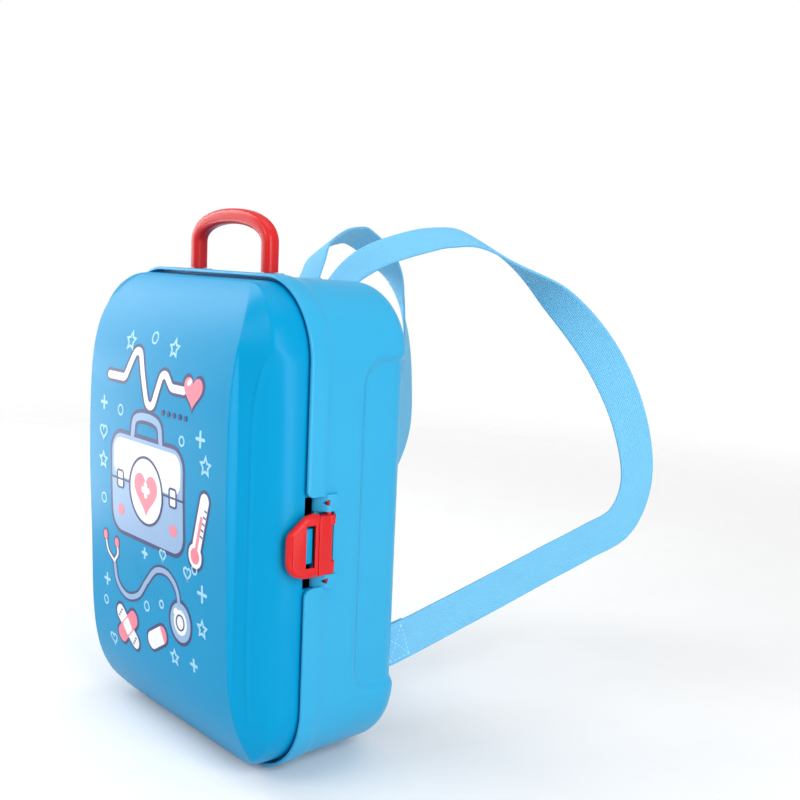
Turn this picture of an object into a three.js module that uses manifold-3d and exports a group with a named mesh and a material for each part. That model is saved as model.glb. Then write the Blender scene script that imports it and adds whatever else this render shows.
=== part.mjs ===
// A hard-shell toy backpack: a deep rear shell and a domed lid that meet at an upright seam,
// a D-shaped latch on one side, a hinge on the other, a carrying handle on the roof and two
// webbing shoulder straps. Millimetres. X runs across the case, with the latch at +X. -Y is the
// lid's side and +Y the wearer's side. Z is up, and the case stands on z = 0.
import * as THREE from "three";
import { mergeVertices } from "three/addons/utils/BufferGeometryUtils.js";
import Module from "manifold-3d";

const wasm = await Module();
wasm.setup();

// Driving dimensions of the case.
const case_width = 211;
const case_height = 280;
const base_depth = 74; // seam to back panel
const lid_depth = 35.5; // seam to the panel's highest line
const corner_radius = 46;

// Clearances.
const touch_gap = 0.3; // between pieces that rest on each other
const swing_gap = 0.4; // beside a piece that turns
const cut_overrun = 2; // a cutter past the face that it opens

// Rear shell.
const shell_wall = 2.4;
const rim_band_depth = 13;
const rim_proud = 1.5; // the rim band stands out of the walls behind it
const rim_step_run = 1.2;
const rim_lip = 1.8;
const rim_edge_round = 0.7;
const rear_fillet = 13.5;
const rear_draft = 1.7;
const foot_length = 30;
const foot_depth = 12;
const foot_round = 4;
const foot_spacing = 96;

// Shallow recess in each side wall, open at the back edge.
const recess_depth = 4;
const recess_slope_run = 4.5;
const recess_front = 36; // behind the seam
const recess_bottom = 43.5;
const recess_top_margin = 41.5; // below the roof
const recess_round = 18;

// Lid.
const lid_wall = 2.2;
const lid_gap = 1; // all round, to the rim's lip
const skirt_depth = 6.8; // reaches behind the seam, inside the rim
const skirt_seat_gap = 0.6;
const lid_edge_land = 5; // straight edge in front of the seam
const flank_run = 12.5; // lid edge to the ridge line
const flank_depth = 25; // seam to the ridge line
const facet_run = 6.6; // ridge line to the foot of the raised panel
const facet_rise = 6.6;
const panel_riser_run = 1.2;
const panel_end_depth = 11; // panel's depth at the top and bottom edges
const panel_lean = 2.2; // the lower half is this much shallower
const panel_crown_power = 5.4;
const flank_curve_shares = [[0, 0.475], [0.4, 0.675]]; // bend points, of the flank's run and rise

// Hinge on the -X side.
const hinge_barrel_radius = 3.8;
const hinge_pin_radius = 1.5;
const hinge_pin_clearance = 0.3;
const hinge_axis_forward = 1; // in front of the seam
const hinge_length = 38;
const hinge_lid_knuckle = 16;
const hinge_end_margin = 65; // from the top and the bottom of the case to the middle of a hinge
const hinge_web_reach = 10; // along the rim band
const hinge_head_radius = 2.6;
const hinge_head_length = 1.2;

// Latch on the +X side.
const latch_height = 34.5; // along Z
const latch_below_middle = 2;
const latch_reach = 28.6; // pin to the tip
const latch_plate = 3.8;
const latch_plate_offset = 1.2; // pin to the plate's inner face
const latch_corner_run = 14;
const latch_corner_rise = 11.5;
const latch_edge_bevel = 0.9;
const latch_tip_slope_run = 4; // the outer face slopes down towards the tip
const latch_tip_slope_drop = 1.5;
const latch_barrel_radius = 3.8;
const latch_waist_radius = 3.2;
const latch_ear_height = 7.5;
const latch_pin_radius = 1.5;
const latch_pin_clearance = 0.3;
const latch_pin_behind_seam = 14.6;
const latch_pin_inside_rim = 1; // the pin's line lies under the rim band's outer face
const latch_slot_width = 6;
const latch_slot_height = 23;
const latch_slot_forward = 14.6; // pin to the slot's middle
const latch_groove_forward = 9.4;
const latch_groove = 1;
const lug_height = 7;
const notch_round = 5; // where the latch's notch meets the rim's front edge
const lug_mouth_share = 0.8; // of the pin's diameter, so that the pin snaps in
const catch_height = 19;
const catch_width = 4.6;
const catch_under_plate = 0.5;

// Handle on the roof.
const handle_width = 87.5;
const handle_rise = 36.5; // above the rim
const handle_thickness = 9; // in the arch's plane
const handle_depth = 9; // along Y
const handle_edge_round = 3.4;
const handle_leg = 16.5; // straight part
const handle_behind_seam = 16;
const handle_arch_shares = [0.62, 0.58]; // bend points, of the arch's rise and half span
const handle_pad = 14;
const spigot_radius = 3;
const spigot_clearance = 0.3;
const screw_radius = 1.1;
const screw_length = 12;
const screw_head_radius = 2.9;
const screw_head_height = 2;
const washer_radius = 7;
const washer_thickness = 1.4;

// Shoulder straps.
const strap_width = 25;
const strap_thickness = 1.8;
const strap_reach = 184; // back panel to the front of the loop
const strap_upper_offset = 16.5; // slot's middle, from the centre plane
const strap_upper_drop = 24; // slot below the roof
const strap_lower_inset = 25.5; // from the widest line of the case to a lower slot
const strap_lower_offset = case_width / 2 - strap_lower_inset;
const strap_lower_height = 58;
const strap_slot_play = 0.6;
const strap_bar_radius = 2;
const strap_bar_extra = 6; // longer than the webbing is wide
const strap_hem_play = 0.3;
// The loop as worn: half case widths, reach behind the back panel, case heights.
const strap_route_shares = [
  [0.146, 0.024, 0.935], [0.158, 0.03, 0.982], [0.21, 0.074, 1.026], [0.295, 0.141, 1.049],
  [0.415, 0.277, 1.08], [0.47, 0.36, 1.091], [0.54, 0.44, 1.089], [0.62, 0.576, 1.05],
  [0.77, 0.745, 0.965], [0.95, 0.9, 0.83], [1.09, 0.985, 0.675], [1.15, 1, 0.535],
  [1.14, 0.93, 0.444], [1.07, 0.8, 0.4], [0.98, 0.63, 0.352], [0.905, 0.43, 0.302],
  [0.85, 0.24, 0.26], [0.8, 0.09, 0.226],
];
// Direction of the webbing's outer edge at the same places.
const strap_edge_shares = [
  [1, 0, 0], [1, 0, -0.05], [0.97, 0, -0.15], [0.95, 0, -0.28],
  [0.94, 0, -0.34], [0.93, 0, -0.36], [0.93, 0, -0.38], [0.92, 0.08, -0.39],
  [0.85, 0.5, -0.2], [0.7, 0.7, 0], [0.5, 0.85, -0.2], [0.3, 0.85, -0.5],
  [0.15, 0.5, -0.85], [0, 0.2, -0.98], [0, 0.1, -1], [0, 0, -1],
  [0, 0, -1], [0, 0, -1],
];

// Facets.
const corner_steps = 9;
const fillet_steps = 6;
const flank_steps = 5;
const crown_steps = 32;
const round_steps = 24;
const arch_steps = 12;
const strap_steps = 84;

// Worked-out places, with the seam at y = 0 and the centre plane at x = 0.
const half_width = case_width / 2;
const mid_height = case_height / 2;
const recess_top = case_height - recess_top_margin;
const latch_centre_z = mid_height - latch_below_middle;
const strap_upper_height = case_height - strap_upper_drop;
const lid_inset = rim_lip + lid_gap;
const lid_half_height = mid_height - lid_inset;
const body_inset = rim_proud + shell_wall;
const body_side_x = half_width - rim_proud;
const rebate_depth = skirt_depth + skirt_seat_gap;
const roof_inside_z = case_height - body_inset;
const quarter_turn = Math.PI / 2;

const colours = {
  shell: { color: 0x38b0ea, roughness: 0.34, metalness: 0 },
  lid: { color: 0x2fa8e6, roughness: 0.3, metalness: 0 },
  red: { color: 0xe02a2c, roughness: 0.36, metalness: 0 },
  webbing: { color: 0x7fcbf5, roughness: 0.8, metalness: 0 },
  steel: { color: 0xb9bec4, roughness: 0.35, metalness: 0.9 },
  bar: { color: 0xe9eef2, roughness: 0.5, metalness: 0 },
};

// Closed geometry to solid, and back.
function solid(geometry) {
  const bare = geometry.clone();
  bare.deleteAttribute("normal");
  bare.deleteAttribute("uv");
  const merged = mergeVertices(bare);
  const made = new wasm.Manifold(new wasm.Mesh({
    numProp: 3,
    vertProperties: merged.attributes.position.array,
    triVerts: new Uint32Array(merged.index.array),
  }));
  return made;
}

function geometryOf(made) {
  const mesh = made.getMesh();
  const geometry = new THREE.BufferGeometry();
  geometry.setAttribute("position", new THREE.BufferAttribute(mesh.vertProperties, 3));
  geometry.setIndex(new THREE.BufferAttribute(mesh.triVerts, 1));
  const flat = geometry.toNonIndexed();
  flat.computeVertexNormals();
  return flat;
}

function join(first, ...others) {
  return others.reduce((whole, other) => whole.add(other), first);
}

function cut(first, ...others) {
  return others.reduce((whole, other) => whole.subtract(other), first);
}

// A closed skin over a row of rings with equal counts of points, its ends closed by fans.
function skin(rings) {
  const count = rings[0].length;
  const points = rings.flat();
  const middle = (ring) => ring.reduce((sum, p) => sum.add(p), new THREE.Vector3())
    .divideScalar(count);
  const first = points.push(middle(rings[0])) - 1;
  const last = points.push(middle(rings.at(-1))) - 1;
  const faces = [];
  for (let r = 0; r + 1 < rings.length; r++) {
    for (let i = 0; i < count; i++) {
      const a = r * count + i;
      const b = r * count + (i + 1) % count;
      // The two halves of a ring take opposite diagonals, so a twisted ribbon keeps its thickness.
      if (i < count / 2) faces.push(a, b, b + count, a, b + count, a + count);
      else faces.push(a, b, a + count, b, b + count, a + count);
    }
  }
  const end = (rings.length - 1) * count;
  for (let i = 0; i < count; i++) {
    faces.push(first, (i + 1) % count, i);
    faces.push(last, end + i, end + (i + 1) % count);
  }
  // The signed volume tells which way the faces look.
  let volume = 0;
  for (let i = 0; i < faces.length; i += 3) {
    const [a, b, c] = faces.slice(i, i + 3).map((k) => points[k]);
    volume += a.dot(new THREE.Vector3().crossVectors(b, c));
  }
  if (volume < 0) faces.reverse();
  const geometry = new THREE.BufferGeometry().setFromPoints(points);
  geometry.setIndex(faces);
  return solid(geometry);
}

// Points round a rounded rectangle about the origin of its plane.
function roundedRing(half_u, half_v, radius) {
  const r = Math.min(radius, half_u, half_v);
  const ring = [];
  for (let corner = 0; corner < 4; corner++) {
    const u = (half_u - r) * (corner === 0 || corner === 3 ? 1 : -1);
    const v = (half_v - r) * (corner < 2 ? 1 : -1);
    for (let i = 0; i <= corner_steps; i++) {
      const angle = (corner + i / corner_steps) * quarter_turn;
      ring.push([u + r * Math.cos(angle), v + r * Math.sin(angle)]);
    }
  }
  return ring;
}

// A shell form about the case's middle line, from rows of [distance behind the seam, inset].
function caseForm(rows, extra_inset = 0, side_inset = 0) {
  return skin(rows.map(([y, own_inset]) => {
    const inset = own_inset + extra_inset;
    const ring = roundedRing(half_width - inset - side_inset, mid_height - inset,
      corner_radius - inset);
    return ring.map(([x, z]) => new THREE.Vector3(x, y, mid_height + z));
  }));
}

function box(x, y, z) {
  const made = new THREE.BoxGeometry(x[1] - x[0], y[1] - y[0], z[1] - z[0]);
  made.translate((x[0] + x[1]) / 2, (y[0] + y[1]) / 2, (z[0] + z[1]) / 2);
  return solid(made);
}

function uprightCylinder(x, y, z, radius, steps = round_steps) {
  const made = new THREE.CylinderGeometry(radius, radius, z[1] - z[0], steps);
  made.rotateX(quarter_turn);
  made.translate(x, y, (z[0] + z[1]) / 2);
  return solid(made);
}

// An outline of [y, z] points carried along X.
function prismAlongX(outline, x, options = {}) {
  const shape = new THREE.Shape(outline.map(([y, z]) => new THREE.Vector2(y, z)));
  const made = new THREE.ExtrudeGeometry(shape, {
    depth: x[1] - x[0], bevelEnabled: false, ...options,
  });
  const across = new THREE.Vector3(0, 1, 0);
  const upward = new THREE.Vector3(0, 0, 1);
  const along = new THREE.Vector3(1, 0, 0);
  made.applyMatrix4(new THREE.Matrix4().makeBasis(across, upward, along).setPosition(x[0], 0, 0));
  return solid(made);
}

// An outline of [x, y] points carried up along Z.
function prismAlongZ(outline, z) {
  const shape = new THREE.Shape(outline.map(([x, y]) => new THREE.Vector2(x, y)));
  const made = new THREE.ExtrudeGeometry(shape, { depth: z[1] - z[0], bevelEnabled: false });
  made.translate(0, 0, z[0]);
  return solid(made);
}

// Rear shell.

const fillet_turns = Array.from({ length: fillet_steps },
  (_, i) => quarter_turn * (i + 1) / fillet_steps);

const shell_outside = [
  [0, rim_edge_round],
  [rim_edge_round, 0],
  [rim_band_depth - rim_step_run, 0],
  [rim_band_depth, rim_proud],
  [base_depth - rear_fillet, rim_proud + rear_draft],
  ...fillet_turns.map((turn) => [
    base_depth - rear_fillet * (1 - Math.sin(turn)),
    rim_proud + rear_draft + rear_fillet * (1 - Math.cos(turn)),
  ]),
];

const inner_fillet = rear_fillet - shell_wall;
const shell_inside = [
  [-cut_overrun, rim_lip],
  [rebate_depth, rim_lip],
  [rebate_depth, body_inset],
  [base_depth - rear_fillet, body_inset + rear_draft],
  ...fillet_turns.map((turn) => [
    base_depth - rear_fillet + inner_fillet * Math.sin(turn),
    body_inset + rear_draft + inner_fillet * (1 - Math.cos(turn)),
  ]),
];

// The recess as a tapered block on one side, wider by grow at its front, top and bottom.
function recessBlock(side, grow) {
  const reach = base_depth + recess_round;
  const rows = [
    [half_width + cut_overrun, 0],
    [body_side_x, 0],
    [body_side_x - recess_depth, recess_slope_run],
    [body_side_x - rear_fillet - rear_draft - recess_depth, recess_slope_run],
  ];
  const mid_y = (recess_front + reach) / 2;
  const mid_z = (recess_bottom + recess_top) / 2;
  return skin(rows.map(([x, inset]) => {
    const ring = roundedRing((reach - recess_front) / 2 - inset + grow,
      (recess_top - recess_bottom) / 2 - inset + grow, recess_round - inset + grow);
    return ring.map(([y, z]) => new THREE.Vector3(side * x, mid_y + y, mid_z + z));
  }));
}

// Latch pocket: its floor and walls inside the shell, and the space it leaves for the latch.
const latch_x = half_width - latch_pin_inside_rim;
const latch_y = latch_pin_behind_seam;
const latch_z = [latch_centre_z - latch_height / 2, latch_centre_z + latch_height / 2];
const pocket_floor_x = latch_x - latch_barrel_radius - swing_gap;
const pocket_back_y = latch_y + latch_barrel_radius + swing_gap;
const pocket_z = [latch_z[0] - swing_gap - lug_height, latch_z[1] + swing_gap + lug_height];

function latchPocketWalls() {
  return box([pocket_floor_x - shell_wall, body_side_x - shell_wall / 2],
    [rebate_depth + skirt_seat_gap, pocket_back_y + shell_wall],
    [pocket_z[0] - shell_wall, pocket_z[1] + shell_wall]);
}

function latchPocketSpace() {
  const [low, high] = pocket_z;
  const flare = Array.from({ length: corner_steps + 1 }, (_, i) => {
    const turn = quarter_turn * i / corner_steps;
    return [notch_round * (1 - Math.cos(turn)), notch_round * (1 - Math.sin(turn))];
  });
  const outline = [
    [-cut_overrun, high + notch_round],
    ...flare.map(([y, z]) => [y, high + z]),
    [pocket_back_y, high],
    [pocket_back_y, low],
    ...flare.reverse().map(([y, z]) => [y, low - z]),
    [-cut_overrun, low - notch_round],
  ];
  return prismAlongX(outline.reverse(), [pocket_floor_x, half_width + cut_overrun]);
}

// A lug at one end of the pocket holds the pin in a snap mouth that faces the front.
function latchLug(z) {
  const nose = uprightCylinder(latch_x, latch_y, z, latch_barrel_radius);
  const root_block = box([pocket_floor_x - shell_wall / 2, latch_x],
    [latch_y - latch_barrel_radius, pocket_back_y + shell_wall / 2], z);
  const bore_radius = latch_pin_radius + latch_pin_clearance;
  const mouth = latch_pin_radius * lug_mouth_share;
  const z_past = [z[0] - cut_overrun, z[1] + cut_overrun];
  return cut(join(nose, root_block),
    uprightCylinder(latch_x, latch_y, z_past, bore_radius),
    box([latch_x - mouth, latch_x + mouth],
      [latch_y - latch_barrel_radius - cut_overrun, latch_y], z_past));
}

const lug_lower_z = [pocket_z[0] - shell_wall / 2, latch_z[0] - swing_gap];
const lug_upper_z = [latch_z[1] + swing_gap, pocket_z[1] + shell_wall / 2];

// Hinge places on the -X side.
const hinge_x = -half_width - hinge_barrel_radius - swing_gap;
const hinge_y = -hinge_axis_forward;
const hinge_centres = {
  lower: hinge_end_margin,
  upper: case_height - hinge_end_margin,
};

function hingeSpans(centre) {
  const inner = hinge_lid_knuckle / 2;
  const outer = hinge_length / 2;
  return {
    lid: [centre - inner, centre + inner],
    shell: [
      [centre - outer, centre - inner - swing_gap],
      [centre + inner + swing_gap, centre + outer],
    ],
    whole: [centre - outer, centre + outer],
  };
}

function shellKnuckle(z) {
  const barrel = uprightCylinder(hinge_x, hinge_y, z, hinge_barrel_radius);
  const root_x = -half_width + rim_lip / 2;
  const web = prismAlongZ([
    [hinge_x, hinge_y],
    [root_x, rim_edge_round],
    [root_x, hinge_web_reach],
    [hinge_x - hinge_barrel_radius * Math.SQRT1_2, hinge_y + hinge_barrel_radius * Math.SQRT1_2],
  ], z);
  return join(barrel, web);
}

function hingeBore(centre) {
  const span = hingeSpans(centre).whole;
  return uprightCylinder(hinge_x, hinge_y, [span[0] - cut_overrun, span[1] + cut_overrun],
    hinge_pin_radius + hinge_pin_clearance);
}

// Handle places on the roof.
const handle_leg_x = (handle_width - handle_thickness) / 2;
const handle_sides = { left: -1, right: 1 };

function handlePad(side) {
  const x = side * handle_leg_x;
  return box([x - handle_pad / 2, x + handle_pad / 2],
    [rim_band_depth - rim_step_run - rim_edge_round, handle_behind_seam + handle_pad / 2],
    [roof_inside_z + shell_wall / 2, case_height]);
}

// The roof slopes with the draft, so each washer sits on a level boss under it.
const roof_slope = rear_draft / (base_depth - rear_fillet - rebate_depth);
const handle_seat_z = roof_inside_z
  - roof_slope * (handle_behind_seam + washer_radius - rebate_depth);

function handleBoss(side) {
  return uprightCylinder(side * handle_leg_x, handle_behind_seam,
    [handle_seat_z, roof_inside_z + shell_wall / 2], washer_radius);
}

function spigotHole(side) {
  return uprightCylinder(side * handle_leg_x, handle_behind_seam,
    [handle_seat_z - cut_overrun, case_height + cut_overrun], spigot_radius + spigot_clearance);
}

// Strap slots through the back panel: level ones at the top, upright ones below.
const slot_half_length = strap_width / 2 + strap_slot_play;
const slot_half_width = strap_thickness / 2 + strap_slot_play;
const slot_y = [base_depth - shell_wall - cut_overrun, base_depth + cut_overrun];

function strapSlots(side) {
  const upper_x = side * strap_upper_offset;
  const lower_x = side * strap_lower_offset;
  return join(
    box([upper_x - slot_half_length, upper_x + slot_half_length], slot_y,
      [strap_upper_height - slot_half_width, strap_upper_height + slot_half_width]),
    box([lower_x - slot_half_width, lower_x + slot_half_width], slot_y,
      [strap_lower_height - slot_half_length, strap_lower_height + slot_half_length]),
  );
}

function shellFoot(side) {
  const x = side * foot_spacing / 2;
  const y_mid = base_depth - rear_fillet - foot_depth / 2;
  const ring = roundedRing(foot_length / 2, foot_depth / 2, foot_round);
  const rows = [0, rim_proud + rear_draft + shell_wall / 2];
  return skin(rows.map((z) => ring.map(([u, v]) => new THREE.Vector3(x + u, y_mid + v, z))));
}

function rearShell() {
  let outside = caseForm(shell_outside);
  let inside = caseForm(shell_inside);
  const recess_floor = caseForm(shell_outside, 0, recess_depth);
  const recess_lining = caseForm(shell_inside, 0, recess_depth);
  for (const side of [-1, 1]) {
    outside = cut(outside, cut(recessBlock(side, 0), recess_floor));
    inside = cut(inside, cut(recessBlock(side, shell_wall), recess_lining));
  }
  inside = cut(inside, latchPocketWalls());
  let shell = cut(outside, inside, latchPocketSpace());
  shell = join(shell, latchLug(lug_lower_z), latchLug(lug_upper_z));
  for (const side of [-1, 1]) {
    shell = join(shell, handlePad(side), handleBoss(side), shellFoot(side));
    shell = cut(shell, spigotHole(side), strapSlots(side));
  }
  for (const centre of Object.values(hinge_centres)) {
    const knuckles = hingeSpans(centre).shell.map(shellKnuckle);
    shell = cut(join(shell, ...knuckles), hingeBore(centre));
  }
  return shell;
}

// Lid: a rim-shaped lip form trimmed by a crowned panel that runs straight across.

function flankRows() {
  const curve = new THREE.CubicBezierCurve(
    new THREE.Vector2(0, lid_edge_land),
    ...flank_curve_shares.map(([run, rise]) => new THREE.Vector2(run * flank_run,
      lid_edge_land + rise * (flank_depth - lid_edge_land))),
    new THREE.Vector2(flank_run, flank_depth),
  );
  const foot = [flank_run + facet_run, flank_depth + facet_rise];
  return [
    ...curve.getPoints(flank_steps).map((p) => [p.x, p.y]),
    foot,
    [foot[0] + panel_riser_run, lid_depth + cut_overrun],
  ];
}

function lipForm(wall, back_y) {
  const drop = wall / 2;
  const rows = flankRows().map(([inset, depth]) => [-depth + drop, inset + wall]);
  return caseForm([[back_y, wall], ...rows], lid_inset);
}

function crownDepth(height_share) {
  const lean = panel_lean * THREE.MathUtils.smoothstep(-height_share, -0.2, 0.4);
  const rise = lid_depth - panel_end_depth;
  return panel_end_depth + rise * (1 - Math.abs(height_share) ** panel_crown_power) - lean;
}

function crownForm(wall, back_y) {
  const half = lid_half_height - wall;
  const outline = [[back_y, mid_height + half + cut_overrun]];
  for (let i = crown_steps; i >= 0; i--) {
    const share = 2 * i / crown_steps - 1;
    outline.push([wall - crownDepth(share), mid_height + share * half]);
  }
  outline[1][1] += cut_overrun;
  outline.at(-1)[1] -= cut_overrun;
  outline.push([back_y, mid_height - half - cut_overrun]);
  outline.reverse();
  return prismAlongX(outline, [-half_width, half_width]);
}

function lidKnuckle(centre) {
  const z = hingeSpans(centre).lid;
  const barrel = uprightCylinder(hinge_x, hinge_y, z, hinge_barrel_radius);
  const arm = box([hinge_x, -half_width + lid_inset + lid_wall / 2],
    [hinge_y - hinge_barrel_radius, -swing_gap], z);
  return join(barrel, arm);
}

// The catch stands under the latch's slot and stops short of the plate, so the lid can swing.
function lidCatch() {
  const lid_side_x = half_width - lid_inset;
  const tip_x = latch_x + latch_plate_offset - catch_under_plate;
  const y = latch_y - latch_slot_forward;
  return box([lid_side_x - lid_wall / 2, tip_x], [y - catch_width / 2, y + catch_width / 2],
    [latch_centre_z - catch_height / 2, latch_centre_z + catch_height / 2]);
}

function frontLid() {
  const outside = lipForm(0, skirt_depth).intersect(crownForm(0, skirt_depth));
  const inner_back = skirt_depth + cut_overrun;
  const inside = lipForm(lid_wall, inner_back).intersect(crownForm(lid_wall, inner_back));
  let lid = cut(outside, inside);
  for (const centre of Object.values(hinge_centres)) {
    lid = cut(join(lid, lidKnuckle(centre)), hingeBore(centre));
  }
  return join(lid, lidCatch());
}

function hingePin(centre) {
  const [low, high] = hingeSpans(centre).whole;
  const head_z = [high + touch_gap, high + touch_gap + hinge_head_length];
  return join(
    uprightCylinder(hinge_x, hinge_y, [low, head_z[1]], hinge_pin_radius),
    uprightCylinder(hinge_x, hinge_y, head_z, hinge_head_radius),
  );
}

// Latch: a D-shaped plate on a hinge barrel.

function latchOutline() {
  const tip_y = latch_y - latch_reach;
  const back_y = latch_y;
  const curve = (from, bend, to) => new THREE.QuadraticBezierCurve(
    new THREE.Vector2(...from), new THREE.Vector2(...bend), new THREE.Vector2(...to),
  ).getPoints(corner_steps).map((p) => [p.x, p.y]);
  const corner_y = tip_y + latch_corner_run;
  return [
    [back_y, latch_z[1]],
    ...curve([corner_y, latch_z[1]], [tip_y, latch_z[1]], [tip_y, latch_z[1] - latch_corner_rise]),
    ...curve([tip_y, latch_z[0] + latch_corner_rise], [tip_y, latch_z[0]], [corner_y, latch_z[0]]),
    [back_y, latch_z[0]],
  ];
}

function latchPlate() {
  const inner_x = latch_x + latch_plate_offset;
  const plate_x = [inner_x + latch_edge_bevel, inner_x + latch_plate - latch_edge_bevel];
  const plate = prismAlongX(latchOutline(), plate_x, {
    bevelEnabled: true,
    bevelThickness: latch_edge_bevel,
    bevelSize: latch_edge_bevel,
    bevelOffset: -latch_edge_bevel,
    bevelSegments: 2,
  });
  // Behind the groove the plate slopes down onto the barrel.
  const top_x = inner_x + latch_plate;
  const slope = prismAlongZ([
    [latch_x, latch_y + cut_overrun],
    [latch_x + latch_barrel_radius, latch_y],
    [top_x + touch_gap, latch_y - latch_groove_forward],
    [top_x + cut_overrun, latch_y - latch_groove_forward],
    [top_x + cut_overrun, latch_y + cut_overrun],
  ], [latch_z[0] - cut_overrun, latch_z[1] + cut_overrun]);
  const tip_y = latch_y - latch_reach;
  const tip_slope = prismAlongZ([
    [top_x + cut_overrun, tip_y - cut_overrun],
    [top_x + cut_overrun, tip_y + latch_tip_slope_run],
    [top_x, tip_y + latch_tip_slope_run],
    [top_x - latch_tip_slope_drop, tip_y],
    [top_x - latch_tip_slope_drop, tip_y - cut_overrun],
  ], [latch_z[0] - cut_overrun, latch_z[1] + cut_overrun]);
  return cut(plate, slope, tip_slope);
}

function latch() {
  const top_x = latch_x + latch_plate_offset + latch_plate;
  const groove_y = latch_y - latch_groove_forward;
  const slot_y_mid = latch_y - latch_slot_forward;
  const z_past = [latch_z[0] - cut_overrun, latch_z[1] + cut_overrun];
  const ears = [
    [latch_z[0], latch_z[0] + latch_ear_height],
    [latch_z[1] - latch_ear_height, latch_z[1]],
  ].map((z) => uprightCylinder(latch_x, latch_y, z, latch_barrel_radius));
  const waist = uprightCylinder(latch_x, latch_y, latch_z, latch_waist_radius);
  const neck = box([latch_x, latch_x + latch_plate_offset + latch_edge_bevel],
    [groove_y, latch_y], latch_z);
  const body = join(latchPlate(), waist, neck, ...ears);
  return cut(body,
    box([latch_x - cut_overrun, top_x + cut_overrun],
      [slot_y_mid - latch_slot_width / 2, slot_y_mid + latch_slot_width / 2],
      [latch_centre_z - latch_slot_height / 2, latch_centre_z + latch_slot_height / 2]),
    box([top_x - latch_groove / 2, top_x + cut_overrun],
      [groove_y - latch_groove / 2, groove_y + latch_groove / 2], z_past),
    uprightCylinder(latch_x, latch_y, z_past, latch_pin_radius + latch_pin_clearance));
}

function latchPin() {
  return uprightCylinder(latch_x, latch_y,
    [pocket_z[0] + touch_gap, pocket_z[1] - touch_gap], latch_pin_radius);
}

// Handle: a rounded section carried up one leg, over a flat arch and down the other.

const handle_foot_z = case_height + touch_gap;
const handle_top_z = case_height + handle_rise - handle_thickness / 2;
const spigot_end_z = handle_seat_z + touch_gap;

function handleLine() {
  const spring_z = case_height + handle_leg;
  const [upright_share, level_share] = handle_arch_shares;
  const half = new THREE.CubicBezierCurve(
    new THREE.Vector2(handle_leg_x, spring_z),
    new THREE.Vector2(handle_leg_x, spring_z + upright_share * (handle_top_z - spring_z)),
    new THREE.Vector2(handle_leg_x * level_share, handle_top_z),
    new THREE.Vector2(0, handle_top_z),
  );
  const stations = [{ place: new THREE.Vector2(handle_leg_x, handle_foot_z),
    along: new THREE.Vector2(0, 1) }];
  for (let i = 0; i <= arch_steps; i++) {
    stations.push({ place: half.getPoint(i / arch_steps), along: half.getTangent(i / arch_steps) });
  }
  const mirrored = stations.slice(0, -1).reverse().map(({ place, along }) => ({
    place: new THREE.Vector2(-place.x, place.y),
    along: new THREE.Vector2(along.x, -along.y),
  }));
  return [...stations, ...mirrored];
}

function handle() {
  const section = roundedRing(handle_thickness / 2, handle_depth / 2, handle_edge_round);
  const arch = skin(handleLine().map(({ place, along }) => section.map(([u, v]) =>
    new THREE.Vector3(place.x + u * along.y, handle_behind_seam + v, place.y - u * along.x))));
  const pieces = Object.values(handle_sides).map((side) => uprightCylinder(side * handle_leg_x,
    handle_behind_seam, [spigot_end_z, handle_foot_z + handle_thickness], spigot_radius));
  const bores = Object.values(handle_sides).map((side) => uprightCylinder(side * handle_leg_x,
    handle_behind_seam, [spigot_end_z - cut_overrun, spigot_end_z + screw_length],
    screw_radius + touch_gap));
  return cut(join(arch, ...pieces), ...bores);
}

const washer_z = [handle_seat_z - touch_gap - washer_thickness, handle_seat_z - touch_gap];

function handleWasher(side) {
  const x = side * handle_leg_x;
  return cut(uprightCylinder(x, handle_behind_seam, washer_z, washer_radius),
    uprightCylinder(x, handle_behind_seam, [washer_z[0] - cut_overrun, washer_z[1] + cut_overrun],
      screw_radius + touch_gap));
}

function handleScrew(side) {
  const x = side * handle_leg_x;
  const head_top = washer_z[0] - touch_gap;
  return join(
    uprightCylinder(x, handle_behind_seam, [head_top - screw_head_height, head_top],
      screw_head_radius),
    uprightCylinder(x, handle_behind_seam,
      [head_top - screw_head_height, spigot_end_z + screw_length - 2 * touch_gap], screw_radius),
  );
}

// Straps: a ribbon of webbing with a sewn loop round a bar at each end.

const hem_bore = strap_bar_radius + strap_hem_play;
const hem_radius = hem_bore + strap_thickness;
const hem_y = base_depth - shell_wall - touch_gap - hem_radius;

function strapLine(side) {
  const upper = new THREE.Vector3(side * strap_upper_offset, hem_y, strap_upper_height);
  const lower = new THREE.Vector3(side * strap_lower_offset, hem_y, strap_lower_height);
  const outward = new THREE.Vector3(0, hem_radius + shell_wall + strap_thickness, 0);
  const route = strap_route_shares.map(([x, y, z]) => new THREE.Vector3(side * x * half_width,
    base_depth + y * strap_reach, z * case_height));
  const level = new THREE.Vector3(side, 0, 0);
  const upright = new THREE.Vector3(0, 0, -1);
  return {
    places: [upper.clone(), upper.clone().add(outward), ...route, lower.clone().add(outward), lower],
    edges: [level, level,
      ...strap_edge_shares.map(([x, y, z]) => new THREE.Vector3(side * x, y, z)), upright, upright],
  };
}

function ribbon({ places, edges }) {
  const line = new THREE.CatmullRomCurve3(places, false, "centripetal");
  const lean = new THREE.CatmullRomCurve3(edges, false, "centripetal");
  const rings = [];
  for (let i = 0; i <= strap_steps; i++) {
    const place = line.getPoint(i / strap_steps);
    const along = line.getTangent(i / strap_steps);
    const edge = lean.getPoint(i / strap_steps);
    edge.addScaledVector(along, -edge.dot(along)).normalize();
    const face = new THREE.Vector3().crossVectors(edge, along).normalize();
    const across = edge.multiplyScalar(strap_width / 2);
    const through = face.multiplyScalar(strap_thickness / 2);
    const corner = (u, v) => place.clone().addScaledVector(across, u).addScaledVector(through, v);
    rings.push([
      corner(1, 1), corner(0, 1), corner(-1, 1), corner(-1, -1), corner(0, -1), corner(1, -1),
    ]);
  }
  return skin(rings);
}

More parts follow.
